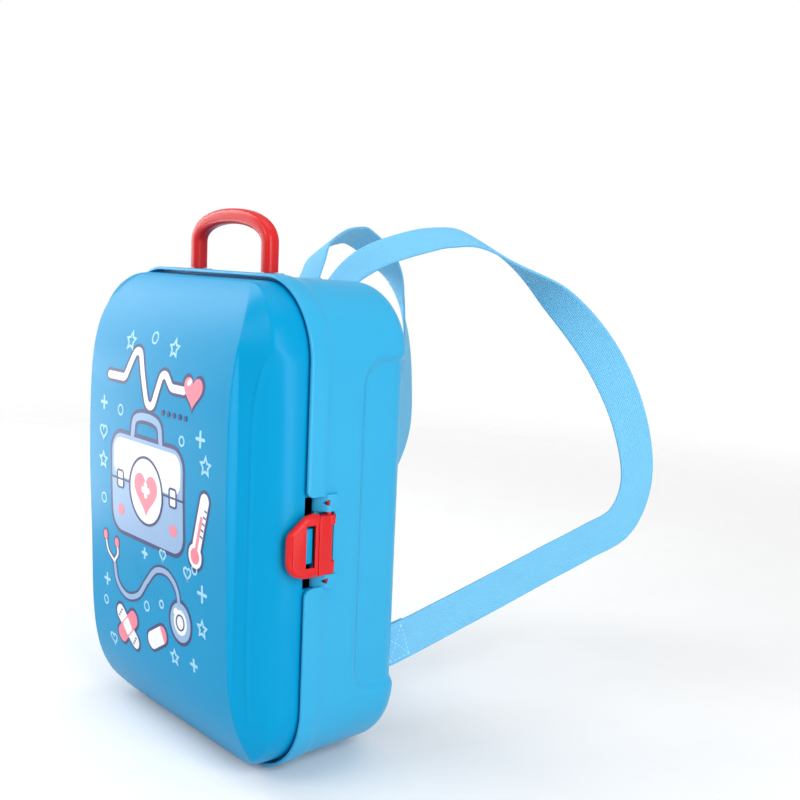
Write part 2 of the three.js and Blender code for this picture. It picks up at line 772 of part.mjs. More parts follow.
// A cylinder about a strap bar's line: level at the upper slot, upright at the lower one.
function aboutBar(place, level, radius, length) {
  const made = new THREE.CylinderGeometry(radius, radius, length, round_steps);
  if (level) made.rotateZ(quarter_turn);
  else made.rotateX(quarter_turn);
  made.translate(place.x, place.y, place.z);
  return solid(made);
}

function strap(side) {
  const line = strapLine(side);
  const ends = [[line.places[0], true], [line.places.at(-1), false]];
  const hems = ends.map(([place, level]) => aboutBar(place, level, hem_radius, strap_width));
  const bores = ends.map(([place, level]) =>
    aboutBar(place, level, hem_bore, strap_width + 2 * cut_overrun));
  return cut(join(ribbon(line), ...hems), ...bores);
}

function strapBar(side, level) {
  const line = strapLine(side);
  const place = level ? line.places[0] : line.places.at(-1);
  return aboutBar(place, level, strap_bar_radius, strap_width + strap_bar_extra);
}

// Assembly. The origin is the middle of the rim band's underside.

const backpack = new THREE.Group();
const seam_frame = new THREE.Group();
seam_frame.position.y = -rim_band_depth / 2;
backpack.add(seam_frame);

function place(name, made, colour) {
  const mesh = new THREE.Mesh(geometryOf(made), new THREE.MeshStandardMaterial(colours[colour]));
  mesh.name = name;
  seam_frame.add(mesh);
}

place("rear_shell", rearShell(), "shell");
place("front_lid", frontLid(), "lid");
for (const [level, centre] of Object.entries(hinge_centres)) {
  place(`hinge_pin_${level}`, hingePin(centre), "steel");
}
place("latch", latch(), "red");
place("latch_pin", latchPin(), "red");
place("handle", handle(), "red");
for (const [name, side] of Object.entries(handle_sides)) {
  place(`handle_washer_${name}`, handleWasher(side), "steel");
  place(`handle_screw_${name}`, handleScrew(side), "steel");
  place(`strap_${name}`, strap(side), "webbing");
  place(`strap_bar_upper_${name}`, strapBar(side, true), "bar");
  place(`strap_bar_lower_${name}`, strapBar(side, false), "bar");
}

export default backpack;
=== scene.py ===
"""A hard-shell toy backpack for a play doctor set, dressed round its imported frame.

Shapes are worked out in millimetres from the seam plane between the two halves, and put_in_frame
turns them into metres in the frame that the moving bodies share.
"""

import math
from collections import namedtuple
from functools import partial

import bpy
import numpy as np
from bpy.props import FloatProperty, FloatVectorProperty, IntProperty
from mathutils import Matrix, Vector


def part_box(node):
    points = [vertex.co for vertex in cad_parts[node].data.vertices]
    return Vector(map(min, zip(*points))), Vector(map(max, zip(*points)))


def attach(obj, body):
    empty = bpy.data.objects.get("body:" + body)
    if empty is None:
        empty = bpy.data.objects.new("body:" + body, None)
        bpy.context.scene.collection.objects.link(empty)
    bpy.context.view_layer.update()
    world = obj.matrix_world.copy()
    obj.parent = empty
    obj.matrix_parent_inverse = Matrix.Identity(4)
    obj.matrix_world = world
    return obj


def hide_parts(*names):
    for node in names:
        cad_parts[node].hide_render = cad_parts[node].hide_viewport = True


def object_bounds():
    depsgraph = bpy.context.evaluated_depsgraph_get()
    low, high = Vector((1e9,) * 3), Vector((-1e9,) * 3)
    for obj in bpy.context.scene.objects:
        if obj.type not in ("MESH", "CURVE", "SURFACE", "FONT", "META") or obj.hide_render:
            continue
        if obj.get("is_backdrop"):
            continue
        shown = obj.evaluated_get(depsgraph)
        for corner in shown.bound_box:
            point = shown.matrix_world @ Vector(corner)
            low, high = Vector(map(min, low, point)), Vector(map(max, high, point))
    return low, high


bl_info = {
    "name": "Toy Doctor Backpack",
    "version": (1, 0, 0),
    "blender": (4, 5, 0),
    "location": "3D View > Sidebar > Backpack",
    "description": "Builds a hard-shell toy backpack with a hinged lid, a latch and two straps",
    "category": "Object",
}

MM = 0.001
SEAM_Y = -6.5
HALF_TURN = math.pi
QUARTER = math.pi / 2

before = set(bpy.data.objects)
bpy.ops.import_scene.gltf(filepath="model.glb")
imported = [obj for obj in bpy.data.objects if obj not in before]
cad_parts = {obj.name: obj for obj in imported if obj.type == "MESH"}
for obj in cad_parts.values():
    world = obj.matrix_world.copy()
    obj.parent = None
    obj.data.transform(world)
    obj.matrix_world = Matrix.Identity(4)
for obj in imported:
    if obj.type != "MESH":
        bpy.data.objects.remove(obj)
cad_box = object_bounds()


# Settings that a user would change


def length(label, about, millimetres):
    return FloatProperty(
        name=label,
        description=about,
        default=millimetres * MM,
        min=0.0,
        unit="LENGTH",
        subtype="DISTANCE",
    )


def linear(red, green, blue):
    """Linear colour of a display colour with parts from 0 to 255."""
    parts = [c / 255 for c in (red, green, blue)]
    return tuple(c / 12.92 if c <= 0.04045 else ((c + 0.055) / 1.055) ** 2.4 for c in parts)


def colour(label, about, display):
    return FloatVectorProperty(
        name=label,
        description=about,
        default=linear(*display),
        size=3,
        min=0.0,
        max=1.0,
        subtype="COLOR",
    )


class BackpackShellSizes(bpy.types.PropertyGroup):
    """Sizes of the rear shell"""

    width: length("Width", "Width over the rim band", 211)
    height: length("Height", "Height over the rim band", 280)
    corner_radius: length("Corner Radius", "Outer corner radius of the rim", 46)
    base_depth: length("Base Depth", "Seam to back panel", 74)
    wall: length("Wall", "Thickness of the moulded wall", 2.4)
    rim_depth: length("Rim Depth", "Depth of the rim band", 13)
    rim_proud: length("Rim Proud", "How far the band stands out of the walls", 1.3)
    recess_depth: length("Recess Depth", "Depth of the recess in each side wall", 3.2)


class BackpackLidSizes(bpy.types.PropertyGroup):
    """Sizes of the lid"""

    depth: length("Depth", "Seam to the panel's highest line", 35.5)
    wall: length("Wall", "Thickness of the moulded wall", 2.2)
    inset: length("Inset", "Rim's outer face to the lid's edge", 3.7)
    skirt: length("Skirt", "How far the lid reaches into the rim", 6.8)
    ridge_bead: length("Ridge Bead", "Height of the bead along the flank's ridge", 0.6)


class BackpackFittingSizes(bpy.types.PropertyGroup):
    """Sizes of the handle, the latch and the straps"""

    handle_width: length("Handle Width", "Width over the handle's legs", 87.5)
    handle_rise: length("Handle Rise", "Height of the handle above the rim", 36.5)
    handle_thickness: length("Handle Thickness", "Thickness of the handle's bar", 9)
    latch_height: length("Latch Height", "Height of the latch plate", 34.5)
    latch_plate: length("Latch Plate", "Thickness of the latch plate", 3.8)
    strap_width: length("Strap Width", "Width of the webbing", 25)
    strap_thickness: length("Strap Thickness", "Thickness of the webbing", 1.8)


class BackpackFinish(bpy.types.PropertyGroup):
    """Colours and textures"""

    shell_colour: colour("Shell Colour", "Colour of the deep half", (52, 170, 218))
    lid_colour: colour("Lid Colour", "Colour of the lid", (2, 152, 205))
    red_colour: colour("Red Colour", "Colour of the handle and the latch", (213, 29, 32))
    webbing_colour: colour("Webbing Colour", "Colour of the straps", (111, 196, 239))
    ink_white: colour("White Ink", "Lightest ink of the print", (246, 249, 252))
    ink_line: colour("Dark Ink", "Outline ink of the print", (52, 66, 118))
    ink_blue: colour("Grey Blue Ink", "Middle ink of the print", (150, 184, 222))
    ink_pale: colour("Pale Ink", "Pale line ink of the print", (168, 220, 248))
    ink_pink: colour("Pink Ink", "Accent ink of the print", (244, 138, 158))
    thread_colour: colour("Thread Colour", "Colour of the sewing thread", (176, 226, 250))
    weave_pitch: length("Weave Pitch", "Width of one rib of the webbing", 1.25)
    stitch_pitch: length("Stitch Pitch", "From one stitch of the straps to the next", 2.6)


class BackpackStage(bpy.types.PropertyGroup):
    """Floor and lighting"""

    softbox_power: FloatProperty(
        name="Softbox Power",
        description="Power of the main softbox",
        default=24.0,
        min=0.0,
        unit="POWER",
    )
    daylight: FloatProperty(
        name="Daylight",
        description="Strength of the even light from all round",
        default=0.24,
        min=0.0,
    )
    ring_steps: IntProperty(
        name="Ring Steps",
        description="Faces round a turned piece",
        default=64,
        min=16,
        max=128,
    )


def size_of(group, *names):
    """One length property in millimetres, or several in a list."""
    settings = getattr(bpy.context.scene, "backpack_" + group)
    values = [getattr(settings, name) / MM for name in names]
    return values if len(names) > 1 else values[0]


def height_span(node):
    """The lowest and the highest level of a solid in millimetres."""
    low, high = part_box(node)
    return low.z / MM, high.z / MM


# Meshes


def put_in_frame(points):
    """Millimetres from the seam plane, to metres in the shared frame."""
    placed = np.array(points, float).reshape(-1, 3)
    placed[:, 1] += SEAM_Y
    return placed * MM


def new_object(name, points, edges, faces):
    """An object in the scene from points in metres."""
    mesh = bpy.data.meshes.new(name)
    mesh.from_pydata(points, edges, faces)
    mesh.update()
    made = bpy.data.objects.new(name, mesh)
    bpy.context.scene.collection.objects.link(made)
    return made


def line_object(name, points, edges):
    """Points and edges in millimetres, for Geometry Nodes to build on."""
    return new_object(name, put_in_frame(points).tolist(), edges, [])


def mesh_piece(name, points, faces):
    """An object with its place in its mesh, its faces turned outwards by its volume."""
    placed = put_in_frame(points)
    corners = [tuple(face) for face in faces]
    volume = 0.0
    for face in corners:
        for k in range(1, len(face) - 1):
            volume += np.dot(placed[face[0]], np.cross(placed[face[k]], placed[face[k + 1]]))
    if volume < 0:
        corners = [face[::-1] for face in corners]
    return new_object(name, placed.tolist(), [], corners)


def skin(name, rings):
    """A closed skin over rows of rings with equal counts of points."""
    count = len(rings[0])
    points = np.concatenate([np.asarray(ring, float) for ring in rings])
    faces = []
    for r in range(len(rings) - 1):
        for i in range(count):
            a, b = r * count + i, r * count + (i + 1) % count
            faces.append((a, b, b + count, a + count))
    faces.append(tuple(range(count))[::-1])
    faces.append(tuple(range((len(rings) - 1) * count, len(rings) * count)))
    return mesh_piece(name, points, faces)


def prism(name, edge, low, high, axis):
    """A flat outline carried along an axis: [y, z] along X, [x, y] along Z."""
    if axis == "X":
        return skin(name, [[(level, y, z) for y, z in edge] for level in (low, high)])
    return skin(name, [[(x, y, level) for x, y in edge] for level in (low, high)])


def block(name, x, y, z):
    """A box between two places on each axis."""
    return prism(name, [(x[0], y[0]), (x[1], y[0]), (x[1], y[1]), (x[0], y[1])], z[0], z[1], "Z")


def full_turn(steps):
    """Equal angles all the way round."""
    return [2 * HALF_TURN * i / steps for i in range(steps)]


def turned(name, profile, centre, axis="Z"):
    """A lathe form from [radius, height] points, closed at both ends."""
    x, y, z = centre
    angles = full_turn(bpy.context.scene.backpack_stage.ring_steps)
    rings = []
    for radius, height in profile:
        circle = [(radius * math.cos(angle), radius * math.sin(angle)) for angle in angles]
        if axis == "Z":
            rings.append([(x + u, y + v, z + height) for u, v in circle])
        else:
            rings.append([(x + height, y + u, z + v) for u, v in circle])
    return skin(name, rings)


def rod(name, centre, radius, low, high, bevel=0.0, axis="Z"):
    """A round bar between two heights, its rims bevelled."""
    profile = [(radius, low), (radius, high)]
    if bevel:
        rim = [(bevel, 0.0), (bevel * 0.3, bevel * 0.3), (0.0, bevel)]
        profile = [(radius - back, low + rise) for back, rise in rim]
        profile += [(radius - back, high - rise) for back, rise in rim[::-1]]
    return turned(name, profile, centre, axis)


def discard(piece):
    """Removes an object and its mesh."""
    mesh = piece.data
    bpy.data.objects.remove(piece)
    bpy.data.meshes.remove(mesh)


def evaluated_mesh(piece):
    """Turns what a piece's modifiers show into its own mesh."""
    graph = bpy.context.evaluated_depsgraph_get()
    made = bpy.data.meshes.new_from_object(piece.evaluated_get(graph), depsgraph=graph)
    piece.modifiers.clear()
    old = piece.data
    piece.data = made
    bpy.data.meshes.remove(old)
    return piece


def carve(piece, steps):
    """Joins and cuts other solids, in order, then removes them."""
    for number, (operation, tool) in enumerate(steps):
        modifier = piece.modifiers.new(f"step_{number}", "BOOLEAN")
        modifier.operation = operation
        modifier.solver = "MANIFOLD"
        modifier.object = tool
    evaluated_mesh(piece)
    for _, tool in steps:
        discard(tool)
    return piece


def bevelled(piece, width, angle=32):
    """Rounds the edges that a mould would round."""
    modifier = piece.modifiers.new("mould_round", "BEVEL")
    modifier.width = width * MM
    modifier.segments = 3
    modifier.limit_method = "ANGLE"
    modifier.angle_limit = math.radians(angle)
    modifier.miter_outer = "MITER_ARC"
    modifier.use_clamp_overlap = True
    return evaluated_mesh(piece)


def joined(name, pieces):
    """Several objects as one, each keeping its UV map."""
    first = pieces[0]
    with bpy.context.temp_override(
        active_object=first, selected_editable_objects=pieces, selected_objects=pieces
    ):
        bpy.ops.object.join()
    first.name = name
    return first


def complete(piece, body, material, nodes=(), sharp=38):
    """Shading, material and the place that a finished piece has in the frame."""
    piece.data.shade_smooth()
    piece.data.set_sharp_from_angle(angle=math.radians(sharp))
    piece.data.materials.clear()
    piece.data.materials.append(material)
    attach(piece, body)
    if nodes:
        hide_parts(*nodes)
    return piece


# The outline that both halves share


CORNER_TURNS = [0, 1.5, 3, 4.5, 6, 8] + [10 + 2.5 * k for k in range(33)]


def spaced(reach, coarse, fine, fine_run):
    """Stations along a straight side, closer together near its ends."""
    ends = list(np.arange(reach - fine, reach - fine_run, -fine))
    middle = list(np.linspace(-ends[-1], ends[-1], int(2 * ends[-1] / coarse) + 1))
    return [-e for e in ends] + middle[1:-1] + ends[::-1]


def outline(inset):
    """Points [x, z] round the case at an inset from the rim, z from the middle height."""
    half_w = size_of("shell", "width") / 2
    half_h = size_of("shell", "height") / 2
    corner = size_of("shell", "corner_radius")
    across, up = half_w - corner, half_h - corner
    r = corner - inset
    turns = np.radians(CORNER_TURNS)
    side = spaced(up, 4.0, 1.2, 24)
    level = spaced(across, 5.0, 1.5, 24)
    ring = [(across + r, z) for z in side]
    ring += [(across + r * math.cos(t), up + r * math.sin(t)) for t in turns]
    ring += [(x, up + r) for x in level[::-1]]
    ring += [(-across - r * math.cos(t), up + r * math.sin(t)) for t in turns[::-1]]
    ring += [(-across - r, z) for z in side[::-1]]
    ring += [(-across - r * math.cos(t), -up - r * math.sin(t)) for t in turns]
    ring += [(x, -up - r) for x in level]
    ring += [(across + r * math.cos(t), -up - r * math.sin(t)) for t in turns[::-1]]
    return np.array(ring)


def ease(t):
    """A share from 0 to 1 that starts and ends gently."""
    t = np.clip(t, 0.0, 1.0)
    return t * t * (3 - 2 * t)


def cubic(points, count):
    """Places at equal shares of the cubic curve that four points set."""
    points = np.array(points, float)
    t = np.arange(count)[:, None] / (count - 1)
    return (
        (1 - t) ** 3 * points[0]
        + 3 * (1 - t) ** 2 * t * points[1]
        + 3 * (1 - t) * t**2 * points[2]
        + t**3 * points[3]
    )


# Rear shell


RECESS = {"front": 36.0, "low": 43.5, "high": 238.5, "round": 18.0, "run": 5.4}
LATCH = {
    "x": 104.5, "y": 14.6, "z": 138.0, "barrel": 3.8, "play": 0.4, "lug": 7.0,
    "reach": 28.6, "fold": 9.4,
}
HINGE = {
    "x": -109.7, "y": -1.0, "barrel": 3.8, "low": 65.0, "high": 215.0, "lid": 8.0, "end": 19.0,
}
PIN_BORE = 1.8
HANDLE_Y = 16.0
SLOT = {
    "upper_x": 16.5, "upper_z": 256.0, "lower_x": 80.0, "lower_z": 58.0, "half_gap": 1.5,
    "play": 0.6,
}
FOOT = {"x": 48.0, "from_back": 19.5, "half_x": 15.0, "half_y": 6.0, "round": 4.0, "chamfer": 0.6}


def recess_share(y, z, grow):
    """How deep the side recess is at a place on the wall, from 0 to 1."""
    half_y, half_z = 60.0, (RECESS["high"] - RECESS["low"]) / 2
    mid_y, mid_z = RECESS["front"] + half_y, (RECESS["high"] + RECESS["low"]) / 2
    r = RECESS["round"]
    dy = np.abs(y - mid_y) - half_y + r
    dz = np.abs(z - mid_z) - half_z + r
    outside = np.hypot(np.maximum(dy, 0), np.maximum(dz, 0)) + np.minimum(np.maximum(dy, dz), 0) - r
    return ease((grow - outside) / RECESS["run"])


def shell_ring(y, inset, grow):
    """One ring of the shell at a distance from the seam, its side walls pressed in."""
    half_h = size_of("shell", "height") / 2
    ring = outline(inset)
    x, z = ring[:, 0].copy(), ring[:, 1] + half_h
    depth = size_of("shell", "recess_depth") * recess_share(np.full(len(z), y), z, grow)
    on_side = ease((np.abs(x) - 45) / 25)
    x -= np.sign(x) * depth * on_side
    return np.column_stack([x, np.full(len(x), y), z])


def shell_rows():
    """Rows of [seam distance, inset, recess growth] from the outer back to the inner back."""
    depth, wall, band, proud = size_of("shell", "base_depth", "wall", "rim_depth", "rim_proud")
    draft, fillet, lip, rebate = 1.7, 13.5, 1.8, 7.4
    turns = [QUARTER * i / 12 for i in range(13)]
    rows = [(depth, proud + draft + fillet + 6, 0)]
    rows += [
        (
            depth - fillet * (1 - math.sin(QUARTER - t)),
            proud + draft + fillet * (1 - math.cos(QUARTER - t)),
            0,
        )
        for t in turns
    ]
    straight = depth - fillet
    for y in list(np.arange(57, 44, -3)) + list(np.arange(43, 34, -0.75)) + [32, 28, 24, 20, 17]:
        rows.append((y, proud + draft * (y - band) / (straight - band), 0))
    for k in range(11):
        t = k / 10
        rows.append((band + 3.0 - 6.0 * t, proud * (1 - ease(t)), 0))
    rows += [(7, 0, 0), (2, 0, 0), (1.0, 0, 0), (0.5, 0.15, 0), (0.15, 0.5, 0), (0, 1.0, 0)]
    rows += [(0, lip - 0.3, 0), (0.3, lip, 0), (3.5, lip, 0), (rebate, lip, 0)]
    inner = proud + wall
    rows += [(rebate, inner, wall), (rebate + 1, inner, wall), (20, inner + 0.4, wall)]
    for y in list(np.arange(31, 44, 1.0)) + [48, 54]:
        rows.append((y, inner + draft * (y - rebate) / (straight - rebate), wall))
    inner_fillet = fillet - wall
    rows += [
        (
            straight + inner_fillet * math.sin(t),
            inner + draft + inner_fillet * (1 - math.cos(t)),
            wall,
        )
        for t in turns
    ]
    rows.append((depth - wall, inner + draft + inner_fillet + 6, wall))
    return rows


def latch_pocket_outline(low, high, back):
    """The opening in the rim for the latch [y, z], its corners rounded out to the seam."""
    turns = [QUARTER * i / 10 for i in range(11)]
    points = []
    for end, flare, side in ((high + 0.9, 3.6, 1), (low + 0.3, 5.0, -1)):
        rows = [(-2, end + side * flare)]
        rows += [(flare * (1 - math.cos(t)), end + side * flare * (1 - math.sin(t))) for t in turns]
        points += (rows + [(back, end)])[::side]
    return points


def lug_span():
    """The outer ends of the two lugs that hold the latch pin."""
    reach = size_of("fittings", "latch_height") / 2 + LATCH["play"] + LATCH["lug"]
    return LATCH["z"] - reach, LATCH["z"] + reach


def latch_lug(floor_x, back_y, z):
    """A block that holds one end of the latch pin, its front cut at a slant."""
    x, y = LATCH["x"], LATCH["y"]
    face = x + 2.1
    section = [
        (floor_x - 1, y - 7.4),
        (x - 3.4, y - 6.8),
        (face - 0.6, y - 2.6),
        (face - 0.15, y - 2.1),
        (face, y - 1.5),
        (face, back_y + 0.2),
        (face - 2.2, back_y + 1.2),
        (floor_x - 1, back_y + 1.2),
    ]
    return prism("lug", section, z[0], z[1], "Z")


def pin_window(z, tall):
    """A small window in a lug's slanted front that shows the pin."""
    x, y = LATCH["x"], LATCH["y"]
    corners = [(y - 4.4, z - 0.3), (y - 1.4, z + tall)]
    corners += [(y - 0.4, z + 0.5 * tall), (y - 1.2, z - tall)]
    return prism("pin_window", corners, x - 1.9, x + 6, "X")


def knuckle_web(low, high):
    """A shell knuckle: its barrel and the web that ties it to the rim band."""
    edge_x = -size_of("shell", "width") / 2 + 0.9
    r, x, y = HINGE["barrel"], HINGE["x"], HINGE["y"]
    start, end = math.radians(100), math.radians(330)
    turns = [start + (end - start) * i / 24 for i in range(25)]
    arc = [(x + r * math.cos(t), y + r * math.sin(t)) for t in turns]
    return prism("shell_knuckle", arc + [(edge_x, 0.7), (edge_x, 10)], low, high, "Z")


def rounded_box_ring(cx, cy, half_x, half_y, radius, z, steps=8):
    """A level ring round a box with rounded corners."""
    ring = []
    for corner, (sx, sy) in enumerate(((1, 1), (-1, 1), (-1, -1), (1, -1))):
        x, y = cx + sx * (half_x - radius), cy + sy * (half_y - radius)
        for i in range(steps + 1):
            a = (corner + i / steps) * QUARTER
            ring.append((x + radius * math.cos(a), y + radius * math.sin(a), z))
    return ring


def handle_leg_x():
    """How far the middle of each handle leg is from the middle of the case."""
    width, thickness = size_of("fittings", "handle_width", "handle_thickness")
    return (width - thickness) / 2


def handle_seat(x, height):
    """The pad, the boss and the hole for one leg of the handle."""
    pad = [
        rounded_box_ring(x, HANDLE_Y, 7 - inset, 7 - inset, 3 - inset, height - drop)
        for inset, drop in ((0, 3), (0, 0.35), (0.35, 0))
    ]
    centre = (x, HANDLE_Y, 0)
    return [
        ("UNION", skin("handle_pad", pad)),
        ("UNION", rod("boss", centre, 7, height - 4.42, height - 2.7)),
        ("DIFFERENCE", rod("spigot_hole", centre, 3.3, height - 8, height + 2)),
    ]


def foot(side):
    """One of the two feet, its lower rim chamfered."""
    depth, proud = size_of("shell", "base_depth", "rim_proud")
    x, y = side * FOOT["x"], depth - FOOT["from_back"]
    rings = []
    for z, inset in ((0, FOOT["chamfer"]), (FOOT["chamfer"], 0), (proud + 2.9, 0)):
        half_x, half_y, radius = (FOOT[name] - inset for name in ("half_x", "half_y", "round"))
        rings.append(rounded_box_ring(x, y, half_x, half_y, radius, z))
    return skin("foot", rings)


def strap_slots(side):
    """The two slots of one strap in the back panel."""
    depth, wall = size_of("shell", "base_depth", "wall")
    long_half = size_of("fittings", "strap_width") / 2 + SLOT["play"]
    steps = []
    for end, half_x, half_z in (
        ("upper", long_half, SLOT["half_gap"]),
        ("lower", SLOT["half_gap"], long_half),
    ):
        x, z = side * SLOT[end + "_x"], SLOT[end + "_z"]
        opening = block(
            end + "_slot",
            (x - half_x, x + half_x),
            (depth - wall - 2, depth + 2),
            (z - half_z, z + half_z),
        )
        steps.append(("DIFFERENCE", opening))
    return steps


def shell_knuckles(centre):
    """The two shell knuckles of one hinge and the bore for its pin."""
    near, end = HINGE["lid"] + 0.4, HINGE["end"]
    bore = rod("hinge_bore", (HINGE["x"], HINGE["y"], centre), PIN_BORE, -end - 2, end + 2)
    return [
        ("UNION", knuckle_web(centre - end, centre - near)),
        ("UNION", knuckle_web(centre + near, centre + end)),
        ("DIFFERENCE", bore),
    ]


def build_shell():
    shell = skin("shell", [shell_ring(*row) for row in shell_rows()])
    width, height, wall, proud = size_of("shell", "width", "height", "wall", "rim_proud")
    floor_x = LATCH["x"] - LATCH["barrel"] - LATCH["play"]
    back_y = LATCH["y"] + LATCH["barrel"] + LATCH["play"]
    low, high = lug_span()
    walls = block(
        "pocket_walls",
        (floor_x - wall, width / 2 - proud - wall / 2),
        (8, back_y + wall),
        (low - wall, high + wall),
    )
    pocket = latch_pocket_outline(low, high, back_y)
    steps = [
        ("UNION", walls),
        ("DIFFERENCE", prism("pocket_space", pocket, floor_x, width / 2 + 2, "X")),
    ]
    lugs = ((low - 0.6, low + LATCH["lug"]), (high - LATCH["lug"] - 0.6, high + 1.8))
    steps += [("UNION", latch_lug(floor_x, back_y, z)) for z in lugs]
    pin_low, pin_high = height_span("latch_pin")
    bore = rod("lug_bore", (LATCH["x"], LATCH["y"], 0), PIN_BORE, pin_low - 0.3, pin_high + 0.3)
    steps.append(("DIFFERENCE", bore))
    steps.append(("DIFFERENCE", pin_window(low + 3.6, 1.7)))
    steps.append(("DIFFERENCE", pin_window(high - 2.6, 1.9)))
    for side in (-1, 1):
        steps += handle_seat(side * handle_leg_x(), height)
        steps.append(("UNION", foot(side)))
        steps += strap_slots(side)
    for centre in (HINGE["low"], HINGE["high"]):
        steps += shell_knuckles(centre)
    return carve(shell, steps)


# Lid


EDGE_BEND = [(0, 5), (0, 14.5), (5, 18.5), (12.5, 25)]

# The flank's lines as [height, value]: the ridge's run in from the side and its depth, then the
# run of the panel's edge
RIDGE_RUN = [
    (0, 12.4), (204, 12.4), (218, 10.6), (228, 8.6), (238, 5.4), (246, 2.6), (262, 0.6), (280, 0.4),
]
RIDGE_DEPTH = [
    (0, 7), (10, 12.5), (25, 19), (37, 22.5), (55, 24.5), (73, 25), (205, 25),
    (218, 24.5), (228, 23.7), (238, 21.6), (246, 18.6), (262, 12), (280, 5.5),
]
PANEL_RUN = [
    (0, 16.5), (27, 17.8), (42, 19.4), (60, 20.2), (246, 20.2),
    (254, 21.6), (262, 25.3), (270, 31), (275, 37), (280, 46),
]
FACET_TOP = 29.9

LID_EDGE = {"start": 5.0, "rise": 33.0, "run": 22.0}
CROWN = {"edge": 11.0, "power": 5.4, "lean": 2.2}
PANEL_REACH = 60.0
BLEND_RUN = 22.3


def level_curve(table, z):
    """A smooth line through a table of heights and values."""
    table = np.array(table, float)
    spread = np.linspace(0, 280, 561)
    values = np.interp(spread, table[:, 0], table[:, 1])
    kernel = np.hanning(25)
    padded = np.pad(values, 12, mode="edge")
    return np.interp(z, spread, np.convolve(padded, kernel / kernel.sum(), mode="valid"))


def smooth_min(a, b, blend):
    """The lesser of two depths, blended where they meet."""
    share = np.clip(0.5 + 0.5 * (b - a) / blend, 0, 1)
    return b + (a - b) * share - blend * share * (1 - share)


def crown(z):
    """Depth of the panel at a height, alike from side to side."""
    depth, inset = size_of("lid", "depth", "inset")
    half_h = size_of("shell", "height") / 2
    share = np.clip((np.asarray(z, float) - half_h) / (half_h - inset), -1, 1)
    lean = CROWN["lean"] * ease((-share + 0.2) / 0.6)
    edge = CROWN["edge"]
    return edge + (depth - edge) * (1 - np.abs(share) ** CROWN["power"]) - lean


def lid_depth(run, x, z):
    """Depth of the lid's outer face at a run in from its edge and a place on the case."""
    x, z = np.abs(np.asarray(x, float)), np.asarray(z, float)
    run = np.zeros_like(z) + run
    panel = crown(z)
    bend = cubic(EDGE_BEND, 60)
    start, edge_run = LID_EDGE["start"], LID_EDGE["run"]
    to_go = 1 - np.minimum(run, edge_run) / edge_run
    edge = start + LID_EDGE["rise"] * np.sqrt(1 - to_go**2) + np.maximum(run - edge_run, 0)
    in_from_side = size_of("shell", "width") / 2 - size_of("lid", "inset") - x
    ridge_run, ridge = level_curve(RIDGE_RUN, z), level_curve(RIDGE_DEPTH, z)
    panel_run = level_curve(PANEL_RUN, z)
    top = smooth_min(np.full_like(z, FACET_TOP), panel - 0.2, 1.5)
    riser_run = 0.25 + 0.28 * (panel - top)
    share = np.clip(in_from_side / ridge_run, 0, 1)
    bend_run, bend_rise = bend[-1, 0], bend[-1, 1] - start
    round_share = np.interp(share, bend[:, 0] / bend_run, (bend[:, 1] - start) / bend_rise)
    side = start + (ridge - start) * round_share
    along = np.clip((in_from_side - ridge_run) / (panel_run - riser_run - ridge_run), 0, 1)
    side = np.where(in_from_side > ridge_run, ridge + (top - ridge) * along, side)
    past = in_from_side - (panel_run - riser_run)
    side = np.where(past > 0, top + past * (panel - top + 0.4) / riser_run, side)
    bead = size_of("lid", "ridge_bead")
    fade = ease((248 - z) / 20) * ease((z - 24) / 20)
    side = side + bead * fade * np.exp(-(((in_from_side - ridge_run - 0.2) / 0.8) ** 2))
    crease = panel_run - riser_run - 0.4
    side = side + 0.3 * bead * fade * np.exp(-(((in_from_side - crease) / 0.6) ** 2))
    corner = ease((z - 226) / 16) + ease((40 - z) / 16)
    blend = (1.6 + 9 * corner) * np.clip(run / 12, 0.15, 1)
    return smooth_min(smooth_min(edge, side, blend), panel, 0.9)


def lid_ring(run, wall, scale=1.0):
    """A ring of the lid's face, or of its inner face a wall below it."""
    half_h = size_of("shell", "height") / 2
    ring = outline(size_of("lid", "inset") + run + wall) * scale
    z = ring[:, 1] + half_h
    reach = run if scale == 1.0 else PANEL_REACH
    depth = lid_depth(reach, ring[:, 0] + np.sign(ring[:, 0]) * wall, z) - (wall * 0.9)
    return np.column_stack([ring[:, 0], -depth, z])


def level_ring(inset, y):
    """A ring round the lid at one distance from the seam."""
    ring = outline(inset)
    z = ring[:, 1] + size_of("shell", "height") / 2
    return np.column_stack([ring[:, 0], np.full(len(ring), y), z])


def lid_rings():
    """Rings from the middle of the panel over the edge and the skirt to the inner middle."""
    wall, inset, skirt = size_of("lid", "wall", "inset", "skirt")
    runs = [0.03, 0.1, 0.22, 0.4, 0.65, 1.0, 1.4, 1.9] + list(np.arange(2.4, 10.6, 0.5))
    runs += list(np.arange(10.8, BLEND_RUN, 0.25))
    scales = [0.02, 0.06] + list(np.linspace(0.1, 0.9, 26)) + list(np.linspace(0.92, 0.995, 10))
    rings = [lid_ring(BLEND_RUN, 0, s) for s in scales]
    rings += [lid_ring(run, 0) for run in runs[::-1]]
    rings += [level_ring(inset, y) for y in (-5, -2, 0, skirt - 0.3)]
    rings += [level_ring(inset + step, skirt) for step in (0.3, wall - 0.2)]
    rings += [level_ring(inset + wall, y) for y in (skirt - 0.3, 0, -2)]
    rings += [lid_ring(run, wall) for run in runs[2::3]]
    return rings + [lid_ring(BLEND_RUN, wall, s) for s in scales[::-2]]


